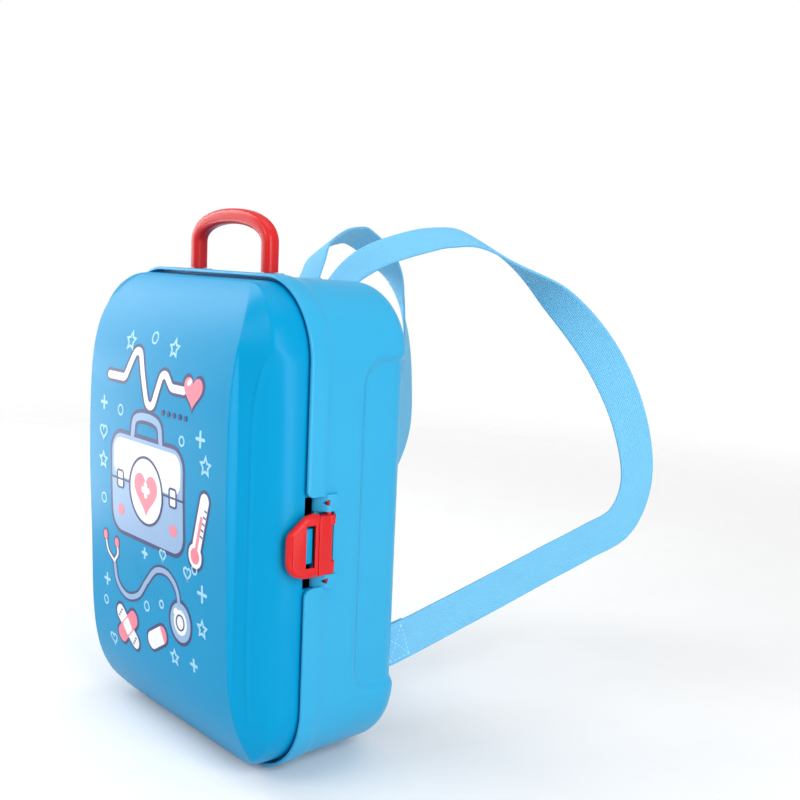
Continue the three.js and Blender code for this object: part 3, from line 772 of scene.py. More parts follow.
def build_lid():
    lid = skin("lid", lid_rings())
    wall, inset, skirt = size_of("lid", "wall", "inset", "skirt")
    half_w = size_of("shell", "width") / 2
    r, x, y = HINGE["barrel"], HINGE["x"], HINGE["y"]
    steps = []
    for centre in (HINGE["low"], HINGE["high"]):
        z = (centre - HINGE["lid"], centre + HINGE["lid"])
        arm = block("lid_arm", (x, -half_w + inset + 1.1), (y - r, -0.4), z)
        bore = rod("lid_bore", (x, y, centre), PIN_BORE, -HINGE["end"], HINGE["end"])
        steps.append(("UNION", rod("lid_knuckle", (x, y, 0), r, z[0], z[1])))
        steps += [("UNION", arm), ("DIFFERENCE", bore)]
    catch_z = (LATCH["z"] - 9.5, LATCH["z"] + 9.5)
    catch = block("catch", (half_w - inset - 1.1, 107.6), (-2.3, 2.3), catch_z)
    steps.append(("UNION", bevelled(catch, 0.4)))
    low, high = lug_span()
    gap_x = (half_w - inset - wall - 3, half_w - inset + 2)
    gap = block("skirt_gap", gap_x, (0.6, skirt + 2), (low - 0.6, high + 0.6))
    steps.append(("DIFFERENCE", gap))
    return carve(lid, steps)


# Latch


def latch_outline(inset):
    """The plate's outline [y, z]: its upper corner is cut, its lower corner is round."""
    half = size_of("fittings", "latch_height") / 2 - inset
    tip, back = LATCH["y"] - LATCH["reach"] + inset, LATCH["y"]
    high, low = LATCH["z"] + half, LATCH["z"] - half

    def corner(a, b, c, count):
        shares = [i / count for i in range(count + 1)]
        return [
            tuple((1 - t) ** 2 * a[k] + 2 * t * (1 - t) * b[k] + t * t * c[k] for k in (0, 1))
            for t in shares
        ]

    run, rise = 12.5 - inset * 0.6, 10.0 - inset * 0.6
    upper = corner((tip + run + 3, high), (tip + run, high), (tip + run - 2.4, high - 1.9), 6)
    upper += corner((tip + 2.0, high - rise + 1.6), (tip, high - rise), (tip, high - rise - 3), 6)
    lower = corner((tip, low + 12 - inset), (tip, low), (tip + 14 - inset, low), 12)
    return [(back, high)] + upper + lower + [(back, low)]


def build_latch():
    """The hasp: a plate, a barrel with two ears, and cuts that shape and open them."""
    plate, latch_height = size_of("fittings", "latch_plate", "latch_height")
    x, y, z = LATCH["x"], LATCH["y"], LATCH["z"]
    low, high = z - latch_height / 2, z + latch_height / 2
    inner = x + 1.2
    outer = inner + plate
    past = outer + 2
    tip, fold = y - LATCH["reach"], y - LATCH["fold"]
    z_past = (low - 2, high + 2)
    levels = [(inner, 0.4), (inner + 0.4, 0), (outer - 1.5, 0), (outer - 0.25, 1.25), (outer, 1.7)]
    latch = skin(
        "hasp", [[(lx, py, pz) for py, pz in latch_outline(inset)] for lx, inset in levels]
    )
    slope = [(x, y + 2), (x + 3.8, y), (outer + 0.3, fold), (past, fold), (past, y + 2)]
    tip_slope = [
        (past, tip - 2),
        (past, tip + 2.5),
        (outer - 0.5, tip + 2.5),
        (outer - 0.5, tip + 1.9),
        (outer - 0.15, tip + 1.9),
        (outer - 1.6, tip),
        (outer - 1.6, tip - 2),
    ]
    upper_taper = [(fold, high - 1.4), (y + 6, high - 2.0), (y + 6, high + 3), (fold, high + 3)]
    lower_taper = [(fold, low), (y + 6, low + 1.2), (y + 6, low - 3), (fold, low - 3)]
    steps = [
        ("DIFFERENCE", prism("barrel_slope", slope, z_past[0], z_past[1], "Z")),
        ("DIFFERENCE", prism("tip_slope", tip_slope, z_past[0], z_past[1], "Z")),
        ("UNION", rod("waist", (x, y, 0), 2.5, low, high)),
        ("UNION", rod("lower_ear", (x, y, 0), 4.0, low, low + 7)),
        ("UNION", rod("upper_ear", (x, y, 0), 4.1, high - 7, high)),
        ("UNION", block("neck", (x, inner + 0.9), (fold, y), (low, high))),
        ("DIFFERENCE", prism("upper_taper", upper_taper, x - 6, past, "X")),
        ("DIFFERENCE", prism("lower_taper", lower_taper, x - 6, past, "X")),
        ("DIFFERENCE", block("slot", (x - 2, past), (-3, 3), (z - 11.5, z + 11.5))),
        ("DIFFERENCE", block("hollow", (inner - 1, outer - 1), (-2.6, 4.2), (z - 12.6, z + 12.6))),
        ("DIFFERENCE", block("fold", (outer - 0.7, past), (fold - 0.6, fold + 0.5), z_past)),
    ]
    carve(latch, steps)
    bevelled(latch, 0.28, 20)
    bore = rod("pin_bore", (x, y, 0), PIN_BORE, z_past[0], z_past[1])
    return carve(latch, [("DIFFERENCE", bore)])


# Handle, pins and fastenings


def handle_line():
    """The handle's middle line, [x, z] from the left foot to the right foot."""
    height = size_of("shell", "height")
    rise, thickness = size_of("fittings", "handle_rise", "handle_thickness")
    leg, top, spring = handle_leg_x(), height + rise - thickness / 2, height + 16.5
    arch = [(leg, spring), (leg, spring + 0.62 * (top - spring)), (leg * 0.58, top), (0.0, top)]
    half = [(leg, height + 0.3), (leg, height + 8)] + cubic(arch, 25).tolist()
    return [(-x, z) for x, z in half] + half[-2::-1]


def wire(tree, *rows):
    """Links outputs to inputs: [from node, output, to node, input] in each row."""
    for source, output, target, socket in rows:
        tree.links.new(source.outputs[output], target.inputs[socket])


def geometry_tree(name, inputs, output):
    """A Geometry Nodes tree with named inputs: its start, and the node that realizes its end."""
    tree = bpy.data.node_groups.new(name, "GeometryNodeTree")
    for label, kind, subtype, value in inputs + [("Material", "Material", None, None)]:
        socket = tree.interface.new_socket(label, in_out="INPUT", socket_type="NodeSocket" + kind)
        if subtype:
            socket.subtype, socket.default_value = subtype, value
    tree.interface.new_socket(output, in_out="OUTPUT", socket_type="NodeSocketGeometry")
    start, end = tree.nodes.new("NodeGroupInput"), tree.nodes.new("NodeGroupOutput")
    realize = tree.nodes.new("GeometryNodeRealizeInstances")
    paint = tree.nodes.new("GeometryNodeSetMaterial")
    wire(
        tree,
        (realize, "Geometry", paint, "Geometry"),
        (start, "Material", paint, "Material"),
        (paint, "Geometry", end, output),
    )
    return tree, start, realize


def sweep_tree():
    """Geometry nodes that carry a rounded bar along a line."""
    tree, start, realize = geometry_tree(
        "Rounded Bar Sweep",
        [
            ("Line", "Geometry", None, None),
            ("Bar Width", "Float", "DISTANCE", 0.009),
            ("Bar Depth", "Float", "DISTANCE", 0.009),
            ("Edge Round", "Float", "DISTANCE", 0.0034),
        ],
        "Bar",
    )
    line = tree.nodes.new("GeometryNodeMeshToCurve")
    upright = tree.nodes.new("GeometryNodeSetCurveNormal")
    section = tree.nodes.new("GeometryNodeCurvePrimitiveQuadrilateral")
    fillet = tree.nodes.new("GeometryNodeFilletCurve")
    sweep = tree.nodes.new("GeometryNodeCurveToMesh")
    upright.mode, fillet.mode = "MINIMUM_TWIST", "POLY"
    fillet.inputs["Count"].default_value = 6
    sweep.inputs["Fill Caps"].default_value = True
    wire(
        tree,
        (start, "Line", line, "Mesh"),
        (line, "Curve", upright, "Curve"),
        (start, "Bar Width", section, "Width"),
        (start, "Bar Depth", section, "Height"),
        (section, "Curve", fillet, "Curve"),
        (start, "Edge Round", fillet, "Radius"),
        (upright, "Curve", sweep, "Curve"),
        (fillet, "Curve", sweep, "Profile Curve"),
        (sweep, "Mesh", realize, "Geometry"),
    )
    return tree


TURN_PER_COPY = 0.6
SCREW_HEAD = 2.0


def copies_tree():
    """Geometry nodes that set one fastening at each point of a mesh."""
    tree, start, realize = geometry_tree(
        "Fastening Copies",
        [
            ("Places", "Geometry", None, None),
            ("Fastening", "Object", None, None),
            ("Turn Per Copy", "Float", "ANGLE", TURN_PER_COPY),
        ],
        "Fastenings",
    )
    points = tree.nodes.new("GeometryNodeMeshToPoints")
    source = tree.nodes.new("GeometryNodeObjectInfo")
    number = tree.nodes.new("GeometryNodeInputIndex")
    angle = tree.nodes.new("ShaderNodeMath")
    angle.operation = "MULTIPLY"
    spin = tree.nodes.new("ShaderNodeCombineXYZ")
    instance = tree.nodes.new("GeometryNodeInstanceOnPoints")
    wire(
        tree,
        (start, "Places", points, "Mesh"),
        (start, "Fastening", source, "Object"),
        (number, "Index", angle, 0),
        (start, "Turn Per Copy", angle, 1),
        (angle, "Value", spin, "Z"),
        (points, "Points", instance, "Points"),
        (source, "Geometry", instance, "Instance"),
        (spin, "Vector", instance, "Rotation"),
        (instance, "Instances", realize, "Geometry"),
    )
    return tree


def grown(piece, tree, values):
    """Turns a piece into what a tree makes of it, its inputs set by their identifiers."""
    modifier = piece.modifiers.new("build", "NODES")
    modifier.node_group = tree
    for item in tree.interface.items_tree:
        if item.item_type == "SOCKET" and item.in_out == "INPUT" and item.name in values:
            modifier[item.identifier] = values[item.name]
    return evaluated_mesh(piece)


def build_handle(material):
    points = [(x, HANDLE_Y, z) for x, z in handle_line()]
    edges = [(i, i + 1) for i in range(len(points) - 1)]
    thickness = size_of("fittings", "handle_thickness") * MM
    sizes = {"Bar Width": thickness, "Bar Depth": thickness, "Edge Round": 3.2 * MM}
    line = line_object("carrying_handle", points, edges)
    handle = grown(line, sweep_tree(), {**sizes, "Material": material})
    height = size_of("shell", "height")
    steps = []
    for side in (-1, 1):
        centre = (side * handle_leg_x(), HANDLE_Y, 0)
        spigot = rod("spigot", centre, 3.0, height - 4.1, height + 6, bevel=0.4)
        bore = rod("screw_bore", centre, 1.4, height - 6, height + 7.9)
        steps += [("UNION", spigot), ("DIFFERENCE", bore)]
    return carve(handle, steps)


def fastenings(name, seat, places, material):
    """Copies of one fastening, made at the origin, at several places."""
    tree = bpy.data.node_groups.get("Fastening Copies") or copies_tree()
    values = {"Fastening": seat, "Turn Per Copy": TURN_PER_COPY, "Material": material}
    piece = grown(line_object(name, places, []), tree, values)
    discard(seat)
    return piece


def at_origin(piece):
    """Takes the seam's place out of a piece, so that copies of it can be placed."""
    piece.data.transform(Matrix.Translation((0, -SEAM_Y * MM, 0)))
    return piece


def screw():
    """A cross-head screw, its head down, from the washer's seat up."""
    profile = [(0.8, -SCREW_HEAD), (1.6, -1.98), (2.3, -1.7), (2.75, -1.1), (2.9, -0.4), (2.9, 0)]
    profile += [(1.1, 0), (1.1, 13.0), (0.7, 13.6)]
    body = turned("screw", profile, (0, 0, 0))
    cross = [
        ("DIFFERENCE", block("cross_a", (-1.7, 1.7), (-0.3, 0.3), (-3, -1.0))),
        ("DIFFERENCE", block("cross_b", (-0.3, 0.3), (-1.7, 1.7), (-3, -1.0))),
    ]
    return at_origin(carve(body, cross))


def washer():
    """A flat washer, from its lower face up."""
    body = rod("washer", (0, 0, 0), 7, 0, 1.4, bevel=0.25)
    return at_origin(carve(body, [("DIFFERENCE", rod("hole", (0, 0, 0), 1.4, -1, 3))]))


# Straps


STRAP_ROUTE = [
    (0.146, 0.024, 0.935), (0.158, 0.042, 0.968), (0.205, 0.09, 1.012), (0.295, 0.15, 1.046),
    (0.415, 0.277, 1.08), (0.47, 0.36, 1.091), (0.54, 0.44, 1.089), (0.62, 0.576, 1.05),
    (0.77, 0.745, 0.965), (0.95, 0.9, 0.83), (1.09, 0.985, 0.675), (1.15, 1, 0.535),
    (1.14, 0.93, 0.444), (1.07, 0.8, 0.4), (0.98, 0.63, 0.352), (0.905, 0.43, 0.302),
    (0.85, 0.24, 0.26), (0.8, 0.09, 0.226),
]
STRAP_EDGE = [
    (1, 0, 0), (0.99, 0, -0.14), (0.95, 0, -0.3), (0.9, 0, -0.42),
    (0.88, 0, -0.46), (0.9, 0, -0.43), (0.92, 0, -0.4), (0.92, 0.08, -0.39),
    (0.85, 0.5, -0.2), (0.7, 0.7, 0), (0.5, 0.85, -0.2), (0.3, 0.85, -0.5),
    (0.15, 0.5, -0.85), (0, 0.2, -0.98), (0, 0.1, -1), (0, 0, -1),
    (0, 0, -1), (0, 0, -1),
]
STRAP_REACH = 184.0
BAR_Y = 67.2
BAR_RADIUS = 2.0
STRAP_LEAD = 6.5
THREAD_RADIUS = 0.26


def through_points(points, steps):
    """A centripetal curve through points, and its direction, at equal steps of each span."""
    points = [np.array(p, float) for p in points]
    rows = []
    last = len(points) - 1
    for i in range(last):
        p1, p2 = points[i], points[i + 1]
        p0 = points[i - 1] if i else 2 * p1 - p2
        p3 = points[i + 2] if i + 2 <= last else 2 * p2 - p1
        gaps = [float(np.dot(b - a, b - a)) ** 0.25 for a, b in ((p0, p1), (p1, p2), (p2, p3))]
        d1 = gaps[1] if gaps[1] > 1e-4 else 1.0
        d0 = gaps[0] if gaps[0] > 1e-4 else d1
        d2 = gaps[2] if gaps[2] > 1e-4 else d1
        t1 = d1 * ((p1 - p0) / d0 - (p2 - p0) / (d0 + d1) + (p2 - p1) / d1)
        t2 = d1 * ((p2 - p1) / d1 - (p3 - p1) / (d1 + d2) + (p3 - p2) / d2)
        a, b = 2 * p1 - 2 * p2 + t1 + t2, -3 * p1 + 3 * p2 - 2 * t1 - t2
        for k in range(steps + (i == last - 1)):
            t = k / steps
            rows.append((p1 + t1 * t + b * t * t + a * t**3, t1 + 2 * b * t + 3 * a * t * t))
    return rows


def strap_ends(side):
    """The middles of a strap's upper and lower bar."""
    return [(side * SLOT[end + "_x"], BAR_Y, SLOT[end + "_z"]) for end in ("upper", "lower")]


def strap_stations(side):
    """Places along a strap from its upper bar to its lower one, and its edge's direction."""
    width, height, depth = size_of("shell", "width", "height", "base_depth")
    upper, lower = strap_ends(side)
    out = STRAP_LEAD + size_of("fittings", "strap_thickness")
    route = [
        (side * x * (width / 2), depth + y * STRAP_REACH, z * height) for x, y, z in STRAP_ROUTE
    ]
    places = [upper, (upper[0], upper[1] + out, upper[2])] + route
    places += [(lower[0], lower[1] + out, lower[2]), lower]
    edges = [(side, 0, 0)] * 2 + [(side * x, y, z) for x, y, z in STRAP_EDGE] + [(0, 0, -1)] * 2
    return through_points(places, 12), [row[0] for row in through_points(edges, 12)]


def strap_section():
    """Half a turn of the webbing's edge, then its flat faces: [across, through] shares."""
    flat = [-0.96 + 1.92 * i / 16 for i in range(17)]
    upper = [(u, 1.0) for u in flat]
    lower = [(u, -1.0) for u in flat[::-1]]
    right = [(0.985, 0.72), (1.0, 0.0), (0.985, -0.72)]
    left = [(-0.985, -0.72), (-1.0, 0.0), (-0.985, 0.72)]
    return upper + right + lower + left


def give_uv(piece, coordinates):
    """Writes a UV map from one [u, v] pair for each corner."""
    layer = piece.data.uv_layers.new(name="UVMap")
    layer.data.foreach_set("uv", np.array(coordinates, np.float32).ravel())


Station = namedtuple("Station", "place edge face ripple distance")


def strap_frames(side):
    """Place, way across, way through, ripple and distance travelled at each station."""
    line, edges = strap_stations(side)
    stations, distance = [], 0.0
    for (place, along), edge in zip(line, edges):
        along = along / np.linalg.norm(along)
        edge = edge - np.dot(edge, along) * along
        edge /= np.linalg.norm(edge)
        if stations:
            distance += float(np.linalg.norm(place - stations[-1].place))
        ripple = 0.12 * math.sin(distance / 11.0) * math.sin(distance / 37.0 + side)
        stations.append(Station(place, edge, np.cross(edge, along), ripple, distance))
    return stations


def on_strap(station, u, v):
    """A point of the webbing: u runs across it and v through it, both as shares."""
    width, thick = size_of("fittings", "strap_width", "strap_thickness")
    lift = thick / 2 * v * (1 - 0.12 * u * u) + station.ripple * (1 - u * u)
    return station.place + station.edge * (width / 2) * u + station.face * lift


def webbing_layer(name, stations, level=0):
    """One layer of webbing along some stations, with a map in metres."""
    width = size_of("fittings", "strap_width")
    section = strap_section()
    rings = [[on_strap(station, u, v + 2 * level) for u, v in section] for station in stations]
    layer = skin(name, rings)
    across = [(u + 1) * width / 2 for u, _ in section]
    vertex_uv = [(x * MM, station.distance * MM) for station in stations for x in across]
    give_uv(layer, [vertex_uv[loop.vertex_index] for loop in layer.data.loops])
    return layer


SEWN = {"start": 9.0, "end": 29.0, "inset": 2.2, "across": 0.78}


def sewn_ends(stations):
    """The stations of the doubled webbing at the strap's two ends, and its free side."""
    whole_length = stations[-1].distance
    for from_far_end in (False, True):
        part = []
        for station in stations:
            reach = whole_length - station.distance if from_far_end else station.distance
            if SEWN["start"] <= reach <= SEWN["end"]:
                part.append(station)
        yield part, 1 if part[0].face[1] > 0 else -1


def build_strap(side, name):
    """A strap with its two doubled ends and the loops round its bars."""
    stations = strap_frames(side)
    parts = [webbing_layer(name, stations)]
    parts += [webbing_layer(name + "_tail", part, level) for part, level in sewn_ends(stations)]
    parts.append(hem_loop(stations[0].place, True, name + "_upper_hem"))
    parts.append(hem_loop(stations[-1].place, False, name + "_lower_hem"))
    return joined(name, parts)


def stitch_tree():
    """Geometry nodes that lay stitches along the lines of a mesh."""
    tree, start, realize = geometry_tree(
        "Stitch Rows",
        [
            ("Lines", "Geometry", None, None),
            ("Pitch", "Float", "DISTANCE", 2.6 * MM),
            ("Stitch Length", "Float", "DISTANCE", 1.9 * MM),
            ("Thread Radius", "Float", "DISTANCE", THREAD_RADIUS * MM),
        ],
        "Stitches",
    )
    curve = tree.nodes.new("GeometryNodeMeshToCurve")
    places = tree.nodes.new("GeometryNodeResampleCurve")
    places.mode = "LENGTH"
    tangent = tree.nodes.new("GeometryNodeInputTangent")
    align = tree.nodes.new("FunctionNodeAlignRotationToVector")
    align.axis = "Z"
    grain = tree.nodes.new("GeometryNodeMeshUVSphere")
    for label, value in (("Segments", 8), ("Rings", 6), ("Radius", 1.0)):
        grain.inputs[label].default_value = value
    half = tree.nodes.new("ShaderNodeMath")
    half.operation = "MULTIPLY"
    half.inputs[1].default_value = 0.5
    size = tree.nodes.new("ShaderNodeCombineXYZ")
    instance = tree.nodes.new("GeometryNodeInstanceOnPoints")
    wire(
        tree,
        (start, "Lines", curve, "Mesh"),
        (curve, "Curve", places, "Curve"),
        (start, "Pitch", places, "Length"),
        (tangent, "Tangent", align, "Vector"),
        (start, "Stitch Length", half, 0),
        (start, "Thread Radius", size, "X"),
        (start, "Thread Radius", size, "Y"),
        (half, "Value", size, "Z"),
        (places, "Curve", instance, "Points"),
        (grain, "Mesh", instance, "Instance"),
        (align, "Rotation", instance, "Rotation"),
        (size, "Vector", instance, "Scale"),
        (instance, "Instances", realize, "Geometry"),
    )
    return tree


def stitch_lines(stations, level):
    """A box with a cross in it, on one side of the doubled webbing."""
    travelled = np.array([station.distance for station in stations])
    low, high = travelled.min() + SEWN["inset"], travelled.max() - SEWN["inset"]
    u = SEWN["across"]
    corners = [(-u, low), (u, low), (u, high), (-u, high)]
    rows = [(corners[i], corners[(i + 1) % 4]) for i in range(4)]
    rows += [(corners[0], corners[2]), (corners[1], corners[3])]
    lines = []
    for (u0, s0), (u1, s1) in rows:
        line = []
        for k in range(13):
            t = 0.04 + 0.92 * k / 12
            s = s0 + (s1 - s0) * t
            at = int(np.clip(np.searchsorted(travelled, s), 1, len(stations) - 1))
            share = (s - travelled[at - 1]) / (travelled[at] - travelled[at - 1])
            across = u0 + (u1 - u0) * t
            near, far = (on_strap(stations[i], across, level) for i in (at - 1, at))
            line.append(near + (far - near) * share)
        lines.append(line)
    return lines


def build_stitches(side, name, material):
    """The thread of a strap's two seams, on both of its faces."""
    lines = []
    for part, level in sewn_ends(strap_frames(side)):
        lines += stitch_lines(part, -1.04 * level) + stitch_lines(part, 3.04 * level)
    count = len(lines[0])
    rows = [range(r * count, (r + 1) * count - 1) for r in range(len(lines))]
    edges = [(i, i + 1) for row in rows for i in row]
    piece = line_object(name, [point for line in lines for point in line], edges)
    pitch = bpy.context.scene.backpack_finish.stitch_pitch
    values = {
        "Pitch": pitch,
        "Stitch Length": pitch * 0.74,
        "Thread Radius": THREAD_RADIUS * MM,
        "Material": material,
    }
    return grown(piece, bpy.data.node_groups.get("Stitch Rows") or stitch_tree(), values)


def hem_loop(centre, level, name):
    """The sewn loop of webbing round a strap bar that lies level or stands upright."""
    width, thick = size_of("fittings", "strap_width", "strap_thickness")
    inner = BAR_RADIUS + 0.3
    outer = inner + thick
    steps, half = 48, width / 2
    profile = [(inner, -half), (outer - 0.3, -half), (outer, -half + 0.3)]
    profile += [(outer, half - 0.3), (outer - 0.3, half), (inner, half)]
    x, y, z = centre
    points, faces = [], []
    for a in full_turn(steps):
        for r, w in profile:
            u, v = r * math.cos(a), r * math.sin(a)
            points.append((x + w, y + u, z + v) if level else (x + u, y + v, z + w))
    count = len(profile)
    for i in range(steps):
        for k in range(count):
            a, b = i * count + k, i * count + (k + 1) % count
            c, d = ((i + 1) % steps) * count + (k + 1) % count, ((i + 1) % steps) * count + k
            faces.append((a, b, c, d))
    piece = mesh_piece(name, points, faces)
    uv = [
        ((profile[v % count][1] + half) * MM, 2 * HALF_TURN * outer * (v // count) / steps * MM)
        for v in (loop.vertex_index for loop in piece.data.loops)
    ]
    give_uv(piece, uv)
    return piece


# Print on the lid


def anticlockwise(edge):
    """The same closed line, turning to the left."""
    edge = np.array(edge, float)
    after = np.roll(edge, -1, axis=0)
    area = (edge[:, 0] * after[:, 1] - after[:, 0] * edge[:, 1]).sum()
    return edge if area > 0 else edge[::-1]


PRINT_STEP = 3.0
PRINT_LIFT = {"first": 0.05, "layer": 0.06, "form": 0.0012, "forms": 40, "below": -0.35}


def divided(line, closed):
    """The same line with no side longer than the print's step."""
    rows = []
    count = len(line)
    for i in range(count if closed else count - 1):
        start, end = line[i], line[(i + 1) % count]
        parts = max(1, math.ceil(math.dist(start, end) / PRINT_STEP))
        rows += [start + (end - start) * k / parts for k in range(parts)]
    return np.array(rows if closed else rows + [line[-1]])


def rounded_line(points, radius):
    """A line through points whose corners turn on arcs, as wide as the sides allow."""
    points = [np.array(p, float) for p in points]
    rows = [points[0]]
    for before, corner, after in zip(points, points[1:], points[2:]):
        in_length, out_length = (np.linalg.norm(p - corner) for p in (before, after))
        to_in, to_out = (before - corner) / in_length, (after - corner) / out_length
        half = math.acos(np.clip(to_in @ to_out, -1, 1)) / 2
        reach = min(radius / math.tan(half), 0.49 * in_length, 0.49 * out_length)
        bisector = (to_in + to_out) / np.linalg.norm(to_in + to_out)
        centre = corner + bisector * reach / math.cos(half)
        arm = corner + to_in * reach - centre
        turn = (HALF_TURN - 2 * half) * (1 if to_in[0] * to_out[1] < to_in[1] * to_out[0] else -1)
        for i in range(9):
            c, s = math.cos(turn * i / 8), math.sin(turn * i / 8)
            rows.append(centre + np.array([arm[0] * c - arm[1] * s, arm[0] * s + arm[1] * c]))
    return rows + [points[-1]]


class Print:
    """Flat motifs in one ink, wrapped onto the lid's panel a hair above it."""

    def __init__(self, name, layer):
        self.name, self.forms = name, 0
        self.lift = PRINT_LIFT["first"] + PRINT_LIFT["layer"] * layer
        self.points, self.faces = [], []

    def blob(self, edge, rings=2):
        """A filled form, seen from its middle."""
        edge = divided(anticlockwise(edge), True)
        middle = edge.mean(axis=0)
        count = len(edge)
        rings = max(rings, math.ceil(np.hypot(*(edge - middle).T).max() / PRINT_STEP))
        flat = [middle]
        for k in range(1, rings + 1):
            flat += list(middle + (edge - middle) * (k / rings))
        faces = []
        for i in range(count):
            j = (i + 1) % count
            faces.append((0, 1 + i, 1 + j))
            for k in range(rings - 1):
                low, high = 1 + k * count, 1 + (k + 1) * count
                faces.append((low + i, high + i, high + j, low + j))
        rim = [1 + (rings - 1) * count + i for i in range(count)]
        self._thicken(flat, faces, [(rim[i], rim[(i + 1) % count]) for i in range(count)])

    def stroke(self, line, width, closed=False):
        """A line of one width, its ends rounded unless it closes on itself."""
        line = divided(np.array(line, float), closed)
        before, after = np.roll(line, 1, axis=0), np.roll(line, -1, axis=0)
        if not closed:
            before[0], after[-1] = 2 * line[0] - line[1], 2 * line[-1] - line[-2]
        into, out = line - before, after - line
        into /= np.linalg.norm(into, axis=1)[:, None]
        out /= np.linalg.norm(out, axis=1)[:, None]
        normal = np.column_stack([-(into + out)[:, 1], (into + out)[:, 0]])
        normal /= np.linalg.norm(normal, axis=1)[:, None]
        across = np.column_stack([-out[:, 1], out[:, 0]])
        mitre = 1 / np.clip((normal * across).sum(axis=1), 0.45, 1)
        offset = normal * (mitre * width / 2)[:, None]
        count = len(line)
        flat = list(line + offset) + list(line - offset)
        spans = range(count if closed else count - 1)
        faces = [(count + i, count + (i + 1) % count, (i + 1) % count, i) for i in spans]
        rim = [(count + i, count + (i + 1) % count) for i in spans]
        rim += [((i + 1) % count, i) for i in spans]
        if not closed:
            for end, direction in ((0, -into[0]), (count - 1, out[-1])):
                side = np.array([-direction[1], direction[0]])
                start, stop = (0, count) if end == 0 else (2 * count - 1, count - 1)
                first = len(flat)
                for turn in (HALF_TURN * k / 8 for k in range(1, 8)):
                    arm = -side * math.cos(turn) + direction * math.sin(turn)
                    flat.append(line[end] + width / 2 * arm)
                cap = [start] + list(range(first, first + 7)) + [stop]
                faces.append(tuple(cap))
                rim += list(zip(cap, cap[1:]))
        self._thicken(flat, faces, rim)

    def _thicken(self, flat, faces, rim):
        """Adds a flat form and its underside, each form a touch higher than the last."""
        first, size = len(self.points), len(flat)
        self.forms += 1
        level = self.lift + PRINT_LIFT["form"] * (self.forms % PRINT_LIFT["forms"])
        self.points += [(u, v, level) for u, v in flat]
        self.points += [(u, v, PRINT_LIFT["below"]) for u, v in flat]
        for face in faces:
            self.faces.append(tuple(first + i for i in face))
            self.faces.append(tuple(first + size + i for i in face[::-1]))
        for i, j in rim:
            self.faces.append((first + j, first + i, first + size + i, first + size + j))

    def piece(self):
        x, z, lift = np.array(self.points).T
        depth = lid_depth(PANEL_REACH, x, z) + lift
        return mesh_piece(self.name, np.column_stack([x, -depth, z]), self.faces)


def set_down(points, cx, cz, turn=0.0):
    """Points turned about the origin, then moved to a place."""
    c, s = math.cos(turn), math.sin(turn)
    return [(cx + x * c - z * s, cz + x * s + z * c) for x, z in points]


def ellipse(cx, cz, rx, rz, steps=40, turn=0.0):
    ring = [(rx * math.cos(a), rz * math.sin(a)) for a in full_turn(steps)]
    return set_down(ring, cx, cz, turn)


def rounded(cx, cz, half_x, half_z, radius, turn=0.0):
    ring = rounded_box_ring(0, 0, half_x, half_z, radius, 0, 6)
    return set_down([(x, z) for x, z, _ in ring], cx, cz, turn)


def heart(cx, cz, size):
    waves = ((13, 1), (-5, 2), (-2, 3), (-1, 4))
    ring = []
    for a in full_turn(48):
        up = sum(share * math.cos(count * a) for share, count in waves)
        ring.append((size * math.sin(a) ** 3, size * up / 16))
    return set_down(ring, cx, cz)


def star(cx, cz, size):
    ring = []
    for i in range(10):
        a = 0.3 + HALF_TURN * i / 5
        r = size if i % 2 == 0 else size * 0.5
        ring.append((r * math.cos(a), r * math.sin(a)))
    return set_down(ring, cx, cz)


def curve_line(points, steps):
    """A smooth line through points of the print."""
    return [tuple(row[0][:2]) for row in through_points([(x, z, 0) for x, z in points], steps)]


def plus(ink, cx, cz, size, width):
    """A plus sign with rounded ends."""
    half = width / 2
    for half_x, half_z in ((size, half), (half, size)):
        arm = rounded_box_ring(0, 0, half_x, half_z, half * 0.9, 0, 4)
        ink.blob(set_down([(x, z) for x, z, _ in arm], cx, cz))


def draw_pulse(shade, white, pink, glint, fine, **_):
    """A pulse line that ends in a heart, with a row of dots below it."""
    beat = [(-56, 214), (-36, 214), (-22, 237), (-4, 193), (10, 224), (20, 214), (34, 214)]
    pulse = rounded_line(beat, 5.0)
    shade.stroke(pulse, 8.6)
    white.stroke(pulse, 4.6)
    shade.blob(heart(44, 215, 12.4))
    pink.blob(heart(44, 215, 9.8))
    glint.blob(ellipse(39.6, 219.4, 2.6, 1.7, turn=0.6))
    for k in range(5):
        fine.blob(ellipse(12 + 6.4 * k, 199, 1.7, 1.7, 16))


def draw_first_aid_case(shade, blue, white, pink, glint, fine, **_):
    """A first-aid case with a round badge."""
    cx, cz = -7.0, 150.0
    shade.blob(rounded(cx, cz, 45.6, 32.6, 14))
    blue.blob(rounded(cx, cz, 43, 30, 11.5))
    white.blob(rounded(cx, cz + 15.5, 40.5, 12, 8.5))
    bow = [(-17, 31), (-15, 40), (-9, 43), (9, 43), (15, 40), (17, 31)]
    grip = curve_line([(cx + x, cz + z) for x, z in bow], 6)
    shade.stroke(grip, 9)
    blue.stroke(grip, 4.4)
    fine.stroke([(cx - 43, cz + 2), (cx - 20.5, cz + 2)], 1.1)
    fine.stroke([(cx + 20.5, cz + 2), (cx + 43, cz + 2)], 1.1)
    fine.stroke(ellipse(cx, cz, 20, 20, 48), 1.5, closed=True)
    white.blob(ellipse(cx, cz, 19.6, 19.6, 48))
    pink.blob(heart(cx, cz - 0.5, 14))
    plus(glint, cx, cz + 0.6, 5.0, 3.8)
    for x in (cx - 32, cx + 32):
        fine.stroke(rounded(x, cz + 2, 3.9, 5.3, 1.8), 1.2, closed=True)
        white.blob(rounded(x, cz + 2, 3.8, 5.2, 1.8))
        glint.stroke([(x - 4, cz + 22.5), (x + 3, cz + 22.5)], 1.6)
        pink.blob(ellipse(x, cz - 17, 4.2, 3.4, 24), 3)


